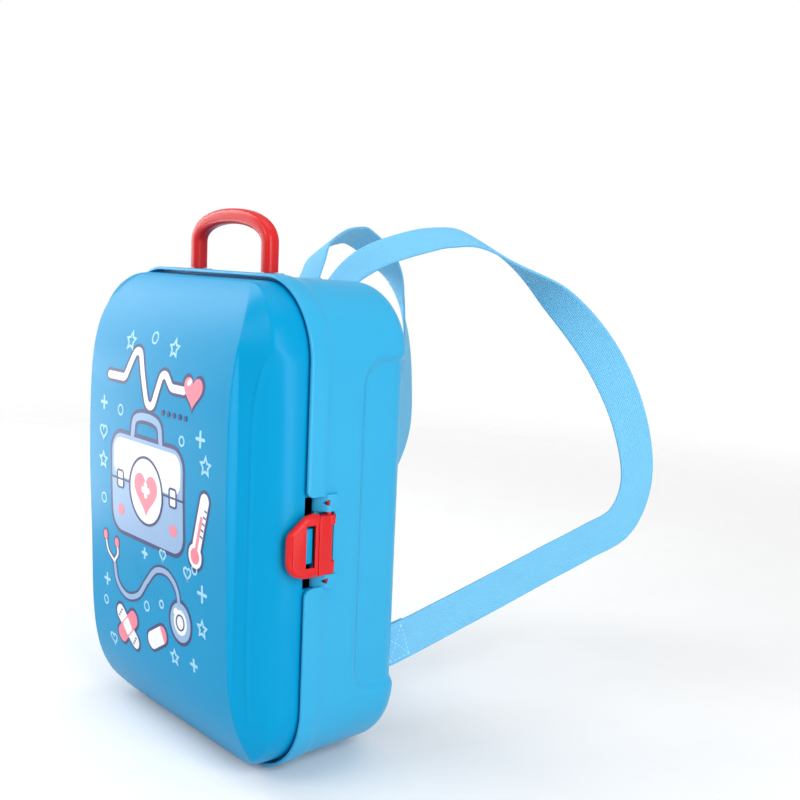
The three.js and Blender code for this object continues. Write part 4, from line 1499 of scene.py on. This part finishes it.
def draw_stethoscope(shade, blue, white, pink, glint, fine, **_):
    """A stethoscope below the case, its chest piece on the right."""
    bends = [(-50, 98), (-46, 86), (-34, 80), (-19, 84), (-8, 95), (4, 105), (18, 106)]
    tube = curve_line(bends + [(28, 99), (31, 88)], 8)
    shade.stroke(tube, 6.2)
    blue.stroke(tube, 3.2)
    for ends in ([(-50, 98), (-58, 103), (-61, 111)], [(-50, 98), (-45, 104), (-46, 109)]):
        arm = curve_line(ends, 6)
        shade.stroke(arm, 4.2)
        white.stroke(arm, 1.7)
        x, z = ends[-1]
        shade.blob(ellipse(x, z + 1.5, 3.9, 4.4))
        pink.blob(ellipse(x, z + 1.5, 2.6, 3.1))
    for ink, radius in ((shade, 13.6), (blue, 11.4), (white, 7.4)):
        ink.blob(ellipse(32, 81, radius, radius))
    glint.blob(ellipse(26.4, 86.6, 2.4, 1.5, turn=0.8))
    fine.stroke(ellipse(32, 81, 4.4, 4.4, 24), 0.9, closed=True)


def draw_plasters(shade, white, pink, glint, fine, **_):
    """Two crossed plasters."""
    px, pz = -34.0, 60.0
    for turn, ink in ((-0.7, white), (0.7, pink)):
        shade.blob(rounded(px, pz, 17.8, 7.2, 7.0, turn))
        ink.blob(rounded(px, pz, 15.8, 5.2, 5.0, turn))
    glint.blob(rounded(px, pz, 4.6, 4.4, 1.4, 0.7))
    holes = [(across, row * 2.6) for row in (-1, 0, 1) for across in (-10.8, 10.8)]
    for x, z in set_down(holes, px, pz, -0.7):
        fine.blob(ellipse(x, z, 0.7, 0.7, 12))


def draw_thermometer(shade, white, pink, fine, **_):
    """A slanted thermometer with its bulb below."""
    turn = 1.25
    way, side = (math.cos(turn), math.sin(turn)), (math.sin(turn), -math.cos(turn))
    tx, tz = 55.0, 142.0
    bulb = (tx - way[0] * 19, tz - way[1] * 19)
    for grow, ink in ((2.0, shade), (0, white)):
        ink.blob(rounded(tx, tz, 20 + grow, 4.4 + grow, 4.3 + grow, turn))
        ink.blob(ellipse(bulb[0], bulb[1], 7 + grow, 7 + grow))
    pink.blob(ellipse(bulb[0], bulb[1], 4.6, 4.6))
    pink.stroke([bulb, (tx + way[0] * 5, tz + way[1] * 5)], 2.4)
    for t in (-5, -1, 3, 7, 11):
        rows = [(tx + way[0] * t + side[0] * d, tz + way[1] * t + side[1] * d) for d in (1.9, 3.9)]
        fine.stroke(rows, 0.8)


def draw_capsule(shade, white, pink, **_):
    """A capsule, one half of it pink."""
    turn, cx, cz = 0.5, 4, 64
    for grow, ink in ((1.9, shade), (0, white)):
        ink.blob(rounded(cx, cz, 12.5 + grow, 5.4 + grow, 5.3 + grow, turn))
    along = (math.cos(turn), math.sin(turn))
    whole_form = rounded(cx, cz, 12.5, 5.4, 5.3, turn)
    pink.blob([p for p in whole_form if (p[0] - cx) * along[0] + (p[1] - cz) * along[1] > 0.2])


PLUSES = (
    (-62, 196, 4.6), (54, 190, 5.0), (-60, 84, 4.2), (56, 104, 5.2), (46, 60, 4.2),
    (-10, 112, 3.6),
)
STARS = (
    (-34, 236, 5.4), (18, 236, 5.0), (60, 176, 5.2), (-62, 160, 5.0), (56, 84, 4.8),
    (24, 58, 4.4),
)
RINGS = (
    (-6, 240, 3.2), (-40, 194, 3.0), (34, 186, 2.6), (-62, 136, 3.0), (48, 116, 2.6),
    (-8, 80, 2.8), (-62, 70, 2.6), (10, 86, 2.2),
)
HEARTS = ((-62, 178, 4.6), (40, 112, 3.8), (12, 116, 3.4), (-56, 46, 4.0))


def draw_small_motifs(pale, **_):
    """Pale plus signs, stars, rings and hearts between the large motifs."""
    for x, z, size in PLUSES:
        plus(pale, x, z, size, 1.9)
    for x, z, size in STARS:
        pale.stroke(star(x, z, size), 1.3, closed=True)
    for x, z, radius in RINGS:
        pale.stroke(ellipse(x, z, radius, radius, 20), 1.1, closed=True)
    for x, z, size in HEARTS:
        pale.stroke(heart(x, z, size), 1.3, closed=True)


DRAWINGS = (
    draw_pulse,
    draw_first_aid_case,
    draw_stethoscope,
    draw_plasters,
    draw_thermometer,
    draw_capsule,
    draw_small_motifs,
)


def build_print():
    """The play-clinic scene on the lid: pieces of the print by the name of their ink."""
    shade, fine = Print("print_outline", 0), Print("print_fine_line", 5)
    white, glint = Print("print_white", 2), Print("print_glint", 4)
    blue, pale = Print("print_blue", 1), Print("print_pale", 1)
    pink = Print("print_pink", 3)
    inks = {
        "shade": shade,
        "blue": blue,
        "pale": pale,
        "white": white,
        "pink": pink,
        "glint": glint,
        "fine": fine,
    }
    for draw in DRAWINGS:
        draw(**inks)
    return {
        "ink_line": [shade.piece(), fine.piece()],
        "ink_white": [white.piece(), glint.piece()],
        "ink_blue": [blue.piece()],
        "ink_pink": [pink.piece()],
        "ink_pale": [pale.piece()],
    }


# Materials


def group_tree(name, inputs, outputs):
    """A shader group with named sockets, and its start and end nodes."""
    tree = bpy.data.node_groups.new(name, "ShaderNodeTree")
    for label, kind, value in inputs:
        item = tree.interface.new_socket(label, in_out="INPUT", socket_type="NodeSocket" + kind)
        if value is not None:
            item.default_value = value
    for label, kind in outputs:
        tree.interface.new_socket(label, in_out="OUTPUT", socket_type="NodeSocket" + kind)
    return tree, tree.nodes.new("NodeGroupInput"), tree.nodes.new("NodeGroupOutput")


def feed(tree, socket, value):
    """Sets a socket to a number, or links it to another socket."""
    if isinstance(value, (int, float)):
        socket.default_value = value
    else:
        tree.links.new(value, socket)


def maths(tree, operation, *values):
    """The result of one step of arithmetic on numbers and sockets."""
    node = tree.nodes.new("ShaderNodeMath")
    node.operation = operation
    for number, value in enumerate(values):
        feed(tree, node.inputs[number], value)
    return node.outputs[0]


def noise(tree, vector, scale, detail, rough):
    node = tree.nodes.new("ShaderNodeTexNoise")
    node.inputs["Detail"].default_value = detail
    node.inputs["Roughness"].default_value = rough
    feed(tree, node.inputs["Scale"], scale)
    tree.links.new(vector, node.inputs["Vector"])
    return node.outputs["Fac"]


def stretched(tree, vector, factors):
    """A vector with each of its parts scaled by its own factor."""
    node = tree.nodes.new("ShaderNodeVectorMath")
    node.operation = "MULTIPLY"
    node.inputs[1].default_value = factors
    tree.links.new(vector, node.inputs[0])
    return node.outputs["Vector"]


def toned(tree, colour_socket, factor):
    """A colour made lighter or darker by a factor."""
    node = tree.nodes.new("ShaderNodeVectorMath")
    node.operation = "SCALE"
    tree.links.new(colour_socket, node.inputs[0])
    tree.links.new(factor, node.inputs["Scale"])
    return node.outputs["Vector"]


def mould_surface_group():
    """Fine grain, slow colour drift and faint scuffs of a moulded plastic."""
    existing = bpy.data.node_groups.get("Mould Surface")
    if existing:
        return existing
    tree, start, end = group_tree(
        "Mould Surface",
        [
            ("Vector", "Vector", None),
            ("Colour", "Color", (0.5, 0.5, 0.5, 1)),
            ("Drift", "Float", 0.06),
            ("Grain Per Metre", "Float", 1400.0),
            ("Roughness", "Float", 0.3),
            ("Scuffs", "Float", 0.08),
        ],
        [("Colour", "Color"), ("Roughness", "Float"), ("Height", "Float")],
    )
    calc, speckle = partial(maths, tree), partial(noise, tree)
    given, vector = start.outputs, start.outputs["Vector"]
    slow = speckle(vector, 14.0, 3.0, 0.55)
    grain = speckle(vector, given["Grain Per Metre"], 2.0, 0.6)
    scratch = speckle(stretched(tree, vector, (1.0, 0.35, 0.12)), 900.0, 1.0, 0.4)
    patch = calc("MAXIMUM", calc("SUBTRACT", speckle(vector, 40.0, 1.0, 0.4), 0.5), 0.0)
    scratch_mask = calc("GREATER_THAN", scratch, 0.71)
    patch_mask = calc("MULTIPLY", calc("SMOOTH_MIN", patch, 1.0, 0.1), 4.0)
    scuff = calc("MULTIPLY", scratch_mask, patch_mask)
    slow_swing, grain_swing = calc("SUBTRACT", slow, 0.5), calc("SUBTRACT", grain, 0.5)
    shade = calc("MULTIPLY_ADD", slow_swing, given["Drift"], 1.0)
    rough = calc("MULTIPLY_ADD", slow_swing, 0.12, given["Roughness"])
    rough = calc("MULTIPLY_ADD", scuff, given["Scuffs"], rough)
    rough = calc("MULTIPLY_ADD", grain_swing, 0.06, rough)
    tree.links.new(toned(tree, given["Colour"], shade), end.inputs["Colour"])
    tree.links.new(rough, end.inputs["Roughness"])
    tree.links.new(calc("MULTIPLY_ADD", slow, 0.4, grain), end.inputs["Height"])
    return tree


def weave_group():
    """Ribs of webbing over a map in metres: across first, then along."""
    existing = bpy.data.node_groups.get("Webbing Weave")
    if existing:
        return existing
    tree, start, end = group_tree(
        "Webbing Weave",
        [
            ("Map", "Vector", None),
            ("Colour", "Color", (0.5, 0.5, 0.5, 1)),
            ("Rib Width", "Float", 0.00125),
            ("Pick Length", "Float", 0.0016),
        ],
        [("Colour", "Color"), ("Height", "Float"), ("Fuzz", "Float")],
    )
    calc, given = partial(maths, tree), start.outputs
    split = tree.nodes.new("ShaderNodeSeparateXYZ")
    tree.links.new(given["Map"], split.inputs[0])
    across = calc("DIVIDE", split.outputs["X"], given["Rib Width"])
    along = calc("DIVIDE", split.outputs["Y"], given["Pick Length"])
    rib = calc("ABSOLUTE", calc("SINE", calc("MULTIPLY", across, HALF_TURN)))
    row = calc("MULTIPLY", calc("MODULO", calc("FLOOR", across), 2.0), 0.5)
    slanted = calc("MULTIPLY_ADD", calc("FRACT", across), 0.35, calc("ADD", along, row))
    pick = calc("ABSOLUTE", calc("SINE", calc("MULTIPLY", slanted, HALF_TURN)))
    height = calc("MULTIPLY", rib, calc("MULTIPLY_ADD", pick, 0.55, 0.45))
    stray = noise(tree, given["Map"], 2600.0, 2.0, 0.6)
    height = calc("MULTIPLY_ADD", stray, 0.18, height)
    band = noise(tree, given["Map"], 60.0, 2.0, 0.5)
    # Painted shade: the colour is lighter on the rib tops and darker in the grooves between ribs
    # and picks. A slow band of dye then moves the tone at random.
    tone = calc("MULTIPLY_ADD", height, 0.3, 0.76)
    tone = calc("MULTIPLY_ADD", calc("SUBTRACT", band, 0.5), 0.1, tone)
    tree.links.new(height, end.inputs["Height"])
    tree.links.new(toned(tree, given["Colour"], tone), end.inputs["Colour"])
    tree.links.new(stray, end.inputs["Fuzz"])
    return tree


def new_material(name):
    """A material with its node tree and its shader."""
    material = bpy.data.materials.new(name)
    material.use_nodes = True
    return material, material.node_tree, material.node_tree.nodes["Principled BSDF"]


def place_group(tree, group, values):
    """A shader group in a material, with some of its inputs set."""
    node = tree.nodes.new("ShaderNodeGroup")
    node.node_tree = group
    for label, value in values.items():
        node.inputs[label].default_value = value
    return node


def finish_colour(name):
    return tuple(getattr(bpy.context.scene.backpack_finish, name)) + (1.0,)


def bump(tree, shader, height, strength, distance):
    """Lets a height shape the shader's normal."""
    node = tree.nodes.new("ShaderNodeBump")
    node.inputs["Strength"].default_value = strength
    node.inputs["Distance"].default_value = distance
    tree.links.new(height, node.inputs["Height"])
    tree.links.new(node.outputs["Normal"], shader.inputs["Normal"])


def moulded_plastic(name, colour_name, roughness, grain=0.03, drift=0.06, gloss=0.18):
    """A plastic with its grain's depth in millimetres, made once for each name."""
    existing = bpy.data.materials.get(name)
    if existing:
        return existing
    material, tree, shader = new_material(name)
    where = tree.nodes.new("ShaderNodeTexCoord")
    values = {"Roughness": roughness, "Drift": drift, "Scuffs": 0.02}
    values["Colour"] = finish_colour(colour_name)
    surface = place_group(tree, mould_surface_group(), values)
    wire(
        tree,
        (where, "Object", surface, "Vector"),
        (surface, "Colour", shader, "Base Color"),
        (surface, "Roughness", shader, "Roughness"),
    )
    shader.inputs["Specular IOR Level"].default_value = gloss
    bump(tree, shader, surface.outputs["Height"], 0.35, grain * MM)
    return material


def red_plastic():
    return moulded_plastic("glossy_red_plastic", "red_colour", 0.3, gloss=0.25)


def woven_webbing():
    """Dyed webbing on its own map in metres, its colour darkened in the grooves of the weave as
    painted shade.
    """
    existing = bpy.data.materials.get("woven_webbing")
    if existing:
        return existing
    material, tree, shader = new_material("woven_webbing")
    where = tree.nodes.new("ShaderNodeTexCoord")
    values = {"Colour": finish_colour("webbing_colour"), "Pick Length": 1.6 * MM}
    values["Rib Width"] = bpy.context.scene.backpack_finish.weave_pitch
    weave = place_group(tree, weave_group(), values)
    wire(tree, (where, "UV", weave, "Map"), (weave, "Colour", shader, "Base Color"))
    rough = maths(tree, "MULTIPLY_ADD", weave.outputs["Fuzz"], 0.2, 0.62)
    tree.links.new(rough, shader.inputs["Roughness"])
    shader.inputs["Sheen Weight"].default_value = 0.06
    shader.inputs["Sheen Roughness"].default_value = 0.5
    bump(tree, shader, weave.outputs["Height"], 0.6, 0.35 * MM)
    return material


def turned_steel():
    """Steel with fine lines round its axis."""
    existing = bpy.data.materials.get("turned_steel")
    if existing:
        return existing
    material, tree, shader = new_material("turned_steel")
    where = tree.nodes.new("ShaderNodeTexCoord")
    vector = stretched(tree, where.outputs["Object"], (1.0, 1.0, 12.0))
    lines = noise(tree, vector, 700.0, 3.0, 0.6)
    ramp = tree.nodes.new("ShaderNodeValToRGB")
    ramp.color_ramp.elements[0].color = (0.42, 0.43, 0.45, 1)
    ramp.color_ramp.elements[1].color = (0.72, 0.73, 0.75, 1)
    tree.links.new(lines, ramp.inputs["Fac"])
    tree.links.new(ramp.outputs["Color"], shader.inputs["Base Color"])
    tree.links.new(maths(tree, "MULTIPLY_ADD", lines, 0.25, 0.2), shader.inputs["Roughness"])
    shader.inputs["Metallic"].default_value = 1.0
    bump(tree, shader, lines, 0.2, 0.02 * MM)
    return material


# Stage


BACKDROP = {"turn": 49.4, "reach": 4.0, "bend": 1.2, "top": 5.0}
CAMERA = {
    "turn": 49.390, "lift": 7.238, "roll": 2.422, "away": 528.53, "aim_x": 176.57,
    "aim_z": 224.95, "lens": 50.268, "sensor": 36.0,
}

# Each lamp: place, target, width, height, share of the softbox power, and the rays it skips
MIDDLE = (0.0, 0.02, 0.15)
LAMPS = {
    "left_strip": ((-1.25, -0.42, 0.8), MIDDLE, 0.55, 1.5, 0.62, None),
    "front_softbox": ((-0.45, -1.6, 1.1), MIDDLE, 1.0, 1.0, 0.58, None),
    "camera_side_softbox": ((0.95, -1.05, 1.35), MIDDLE, 0.9, 0.9, 0.06, None),
    "right_softbox": ((1.72, -0.12, 0.85), MIDDLE, 0.9, 1.4, 1.05, None),
    "top_softbox": ((0.0, 0.2, 1.8), MIDDLE, 1.3, 1.3, 0.25, None),
    "back_softbox": ((-0.5, 1.7, 1.4), MIDDLE, 1.0, 1.0, 0.3, "visible_glossy"),
    "left_reflector": (
        (-0.4, -0.14, 0.12), (0.0, -0.04, 0.12), 0.14, 0.2, 0.02, "visible_diffuse",
    ),
    "right_reflector": (
        (0.55, 0.06, 0.13), (0.1, 0.0, 0.13), 0.3, 0.24, 0.055, "visible_diffuse",
    ),
}


def pale_rays(tree, seen):
    """1 for the rays that should see the pale background, straight or mirrored."""
    ray = maths(tree, "MAXIMUM", seen.outputs["Is Camera Ray"], seen.outputs["Is Glossy Ray"])
    return maths(tree, "MAXIMUM", ray, seen.outputs["Is Transmission Ray"])


def floor_profile():
    """[distance, height] of the floor from its front edge up the backdrop."""
    bend = BACKDROP["bend"]
    turns = [QUARTER * i / 12 for i in range(1, 13)]
    rows = [(-BACKDROP["reach"], 0.0), (bend, 0.0)]
    rows += [(bend + bend * math.sin(a), bend * (1 - math.cos(a))) for a in turns]
    return rows + [(2 * bend, BACKDROP["top"])]


def floor_material():
    """A pale floor that fades out far away, where the camera looks straight at it."""
    material, tree, shader = new_material("pale_floor")
    calc = partial(maths, tree)
    where = tree.nodes.new("ShaderNodeTexCoord")
    seen = tree.nodes.new("ShaderNodeLightPath")
    fine = noise(tree, where.outputs["Object"], 30.0, 3.0, 0.5)
    level = calc("MULTIPLY_ADD", pale_rays(tree, seen), 0.24, 0.67)
    level = calc("MULTIPLY_ADD", calc("SUBTRACT", fine, 0.5), 0.03, level)
    grey = tree.nodes.new("ShaderNodeCombineColor")
    for channel in ("Red", "Green", "Blue"):
        tree.links.new(level, grey.inputs[channel])
    tree.links.new(grey.outputs["Color"], shader.inputs["Base Color"])
    shader.inputs["Roughness"].default_value = 0.8
    gap = tree.nodes.new("ShaderNodeVectorMath")
    gap.operation = "LENGTH"
    tree.links.new(where.outputs["Object"], gap.inputs[0])
    far = calc("MULTIPLY_ADD", gap.outputs["Value"], 1.4, -1.0)
    far = calc("MINIMUM", calc("MAXIMUM", far, 0.0), 1.0)
    open_air = calc("MULTIPLY", far, seen.outputs["Is Camera Ray"])
    tree.links.new(calc("SUBTRACT", 1.0, open_air), shader.inputs["Alpha"])
    return material


def make_floor():
    """A floor that curves up into a backdrop."""
    turn = math.radians(BACKDROP["turn"])
    near = Vector((math.sin(turn), -math.cos(turn)))
    points = []
    for distance, height in floor_profile():
        for side in (-BACKDROP["reach"], BACKDROP["reach"]):
            place = -near * distance + Vector((near.y, -near.x)) * side
            points.append((place.x, place.y, height))
    faces = [(i, i + 1, i + 3, i + 2) for i in range(0, len(points) - 2, 2)]
    floor = new_object("floor", points, [], faces)
    if floor.data.polygons[0].normal.z < 0:
        floor.data.flip_normals()
    floor.data.shade_smooth()
    floor.data.materials.append(floor_material())
    floor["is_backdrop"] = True


def make_lights(stage):
    """The soft boxes and the even light from all round."""
    for name, (place, target, width, height, share, skipped) in LAMPS.items():
        data = bpy.data.lights.new(name, "AREA")
        data.shape = "RECTANGLE"
        data.size, data.size_y = width, height
        data.energy = stage.softbox_power * share
        lamp = bpy.data.objects.new(name, data)
        lamp.location = place
        lamp.rotation_euler = (Vector(target) - Vector(place)).to_track_quat("-Z", "Y").to_euler()
        if skipped:
            setattr(lamp, skipped, False)
        bpy.context.scene.collection.objects.link(lamp)
    world = bpy.data.worlds.new("daylight")
    bpy.context.scene.world = world
    world.use_nodes = True
    tree = world.node_tree
    sky = tree.nodes["Background"]
    sky.inputs["Color"].default_value = (1.0, 1.0, 1.0, 1)
    seen = tree.nodes.new("ShaderNodeLightPath")
    level = maths(tree, "MULTIPLY_ADD", pale_rays(tree, seen), 1 - stage.daylight, stage.daylight)
    tree.links.new(level, sky.inputs["Strength"])


def make_camera():
    """The camera stands where the photograph was taken from."""
    turn, lift, roll = (math.radians(CAMERA[name]) for name in ("turn", "lift", "roll"))
    back = Vector(
        (math.sin(turn) * math.cos(lift), -math.cos(turn) * math.cos(lift), math.sin(lift))
    )
    right = Vector((0, 0, 1)).cross(back).normalized()
    up = back.cross(right)
    rolled_right = right * math.cos(roll) + up * math.sin(roll)
    rolled_up = -right * math.sin(roll) + up * math.cos(roll)
    aim = Vector((CAMERA["aim_x"], SEAM_Y, CAMERA["aim_z"])) * MM
    data = bpy.data.cameras.new("camera")
    data.sensor_width = CAMERA["sensor"]
    data.lens = CAMERA["lens"]
    data.clip_start = 0.01
    camera = bpy.data.objects.new("camera", data)
    axes = Matrix((rolled_right, rolled_up, back)).transposed().to_4x4()
    camera.matrix_world = Matrix.Translation(aim + back * CAMERA["away"] * MM) @ axes
    bpy.context.scene.collection.objects.link(camera)
    bpy.context.scene.camera = camera


# Operators


class BACKPACK_OT_stage(bpy.types.Operator):
    """Floor, soft studio light and the camera"""

    bl_idname = "backpack.stage"
    bl_label = "Stage"

    def execute(self, context):
        scene = context.scene
        scene.view_settings.view_transform = "Standard"
        make_floor()
        make_lights(scene.backpack_stage)
        make_camera()
        return {"FINISHED"}


class BACKPACK_OT_shell(bpy.types.Operator):
    """Deep rear shell with its rim, recesses and latch pocket"""

    bl_idname = "backpack.shell"
    bl_label = "Rear Shell"

    def execute(self, context):
        plastic = moulded_plastic("blue_shell_plastic", "shell_colour", 0.3)
        complete(build_shell(), "case", plastic, ["rear_shell"])
        return {"FINISHED"}


class BACKPACK_OT_lid(bpy.types.Operator):
    """Domed lid with its hinge knuckles and catch"""

    bl_idname = "backpack.lid"
    bl_label = "Lid"

    def execute(self, context):
        plastic = moulded_plastic("blue_lid_plastic", "lid_colour", 0.3, gloss=0.08)
        complete(build_lid(), "lid", plastic, ["front_lid"])
        return {"FINISHED"}


class BACKPACK_OT_print(bpy.types.Operator):
    """Printed play-clinic motifs on the lid"""

    bl_idname = "backpack.print"
    bl_label = "Lid Print"

    def execute(self, context):
        for ink, pieces in build_print().items():
            paint = moulded_plastic(ink + "_print", ink, 0.34, grain=0.01, drift=0.04)
            for piece in pieces:
                complete(piece, "lid", paint)
        return {"FINISHED"}


class BACKPACK_OT_latch(bpy.types.Operator):
    """Red hasp with its slot and barrel, and the pin that it turns on"""

    bl_idname = "backpack.latch"
    bl_label = "Latch"

    def execute(self, context):
        red = red_plastic()
        complete(build_latch(), "latch", red, ["latch"], sharp=19)
        low, high = height_span("latch_pin")
        pin = rod("latch_pin_turned", (LATCH["x"], LATCH["y"], 0), 1.5, low, high, bevel=0.3)
        complete(pin, "case", red, ["latch_pin"])
        return {"FINISHED"}


class BACKPACK_OT_handle(bpy.types.Operator):
    """Arched carrying handle with its screws and washers"""

    bl_idname = "backpack.handle"
    bl_label = "Handle"

    def execute(self, context):
        red = red_plastic()
        complete(build_handle(red), "case", red, ["handle"])
        steel = turned_steel()
        for kind, seat in (("screw", screw), ("washer", washer)):
            nodes = [f"handle_{kind}_{side}" for side in ("left", "right")]
            head = SCREW_HEAD if kind == "screw" else 0.0
            places = []
            for low, high in (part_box(node) for node in nodes):
                middle = (low + high) / 2 / MM
                places.append((middle.x, middle.y - SEAM_Y, low.z / MM + head))
            piece = fastenings(f"handle_{kind}s", seat(), places, steel)
            complete(piece, "case", steel, nodes)
        return {"FINISHED"}


class BACKPACK_OT_hinge_pins(bpy.types.Operator):
    """Headed steel pins of the lid's two hinges"""

    bl_idname = "backpack.hinge_pins"
    bl_label = "Hinge Pins"

    def execute(self, context):
        steel = turned_steel()
        for level in ("lower", "upper"):
            node = f"hinge_pin_{level}"
            low, high = height_span(node)
            profile = [(1.2, low), (1.5, low + 0.4), (1.5, high - 1.2), (2.4, high - 1.2)]
            profile += [(2.6, high - 1.0), (2.55, high - 0.5), (2.0, high - 0.08), (1.2, high)]
            pin = turned(f"pin_{level}", profile, (HINGE["x"], HINGE["y"], 0))
            complete(pin, "case", steel, [node])
        return {"FINISHED"}


class BACKPACK_OT_straps(bpy.types.Operator):
    """Webbing shoulder straps and the bars that hold their ends"""

    bl_idname = "backpack.straps"
    bl_label = "Straps"

    def execute(self, context):
        webbing = woven_webbing()
        pale = moulded_plastic("pale_bar_plastic", "ink_white", 0.45)
        thread = moulded_plastic("sewing_thread", "thread_colour", 0.7, gloss=0.15)
        for name, side in (("left", -1), ("right", 1)):
            strap = build_strap(side, f"webbing_{name}")
            complete(strap, "case", webbing, [f"strap_{name}"])
            stitches = build_stitches(side, f"stitches_{name}", thread)
            complete(stitches, "case", thread)
            half = size_of("fittings", "strap_width") / 2 + 3
            bars = zip(("upper", "lower"), strap_ends(side), ("X", "Z"))
            for level, centre, axis in bars:
                bar = rod(f"bar_{level}_{name}", centre, BAR_RADIUS, -half, half, 0.35, axis)
                complete(bar, "case", pale, [f"strap_bar_{level}_{name}"])
        return {"FINISHED"}


class BACKPACK_PT_builder(bpy.types.Panel):
    """Sizes, finishes and the steps that build the backpack"""

    bl_label = "Toy Backpack"
    bl_idname = "BACKPACK_PT_builder"
    bl_space_type = "VIEW_3D"
    bl_region_type = "UI"
    bl_category = "Backpack"

    def draw(self, context):
        for group in GROUPS:
            settings = getattr(context.scene, group)
            box = self.layout.box()
            for name in settings.__annotations__:
                box.prop(settings, name)
        for operator in OPERATORS:
            self.layout.operator(operator.bl_idname)


GROUPS = {
    "backpack_shell": BackpackShellSizes,
    "backpack_lid": BackpackLidSizes,
    "backpack_fittings": BackpackFittingSizes,
    "backpack_finish": BackpackFinish,
    "backpack_stage": BackpackStage,
}
OPERATORS = (
    BACKPACK_OT_stage,
    BACKPACK_OT_shell,
    BACKPACK_OT_lid,
    BACKPACK_OT_print,
    BACKPACK_OT_latch,
    BACKPACK_OT_handle,
    BACKPACK_OT_hinge_pins,
    BACKPACK_OT_straps,
)


def register():
    for attribute, group in GROUPS.items():
        bpy.utils.register_class(group)
        setattr(bpy.types.Scene, attribute, bpy.props.PointerProperty(type=group))
    for cls in OPERATORS + (BACKPACK_PT_builder,):
        bpy.utils.register_class(cls)


def unregister():
    for cls in (BACKPACK_PT_builder,) + OPERATORS[::-1]:
        bpy.utils.unregister_class(cls)
    for attribute, group in reversed(GROUPS.items()):
        delattr(bpy.types.Scene, attribute)
        bpy.utils.unregister_class(group)


def main():
    register()
    bpy.ops.backpack.stage()
    bpy.ops.backpack.shell()
    bpy.ops.backpack.lid()
    bpy.ops.backpack.print()
    bpy.ops.backpack.latch()
    bpy.ops.backpack.handle()
    bpy.ops.backpack.hinge_pins()
    bpy.ops.backpack.straps()
    boxes = {"cad": cad_box, "visual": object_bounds()}
    plain = {name: [[float(v) for v in corner] for corner in box] for name, box in boxes.items()}


if __name__ == "__main__":
    main()
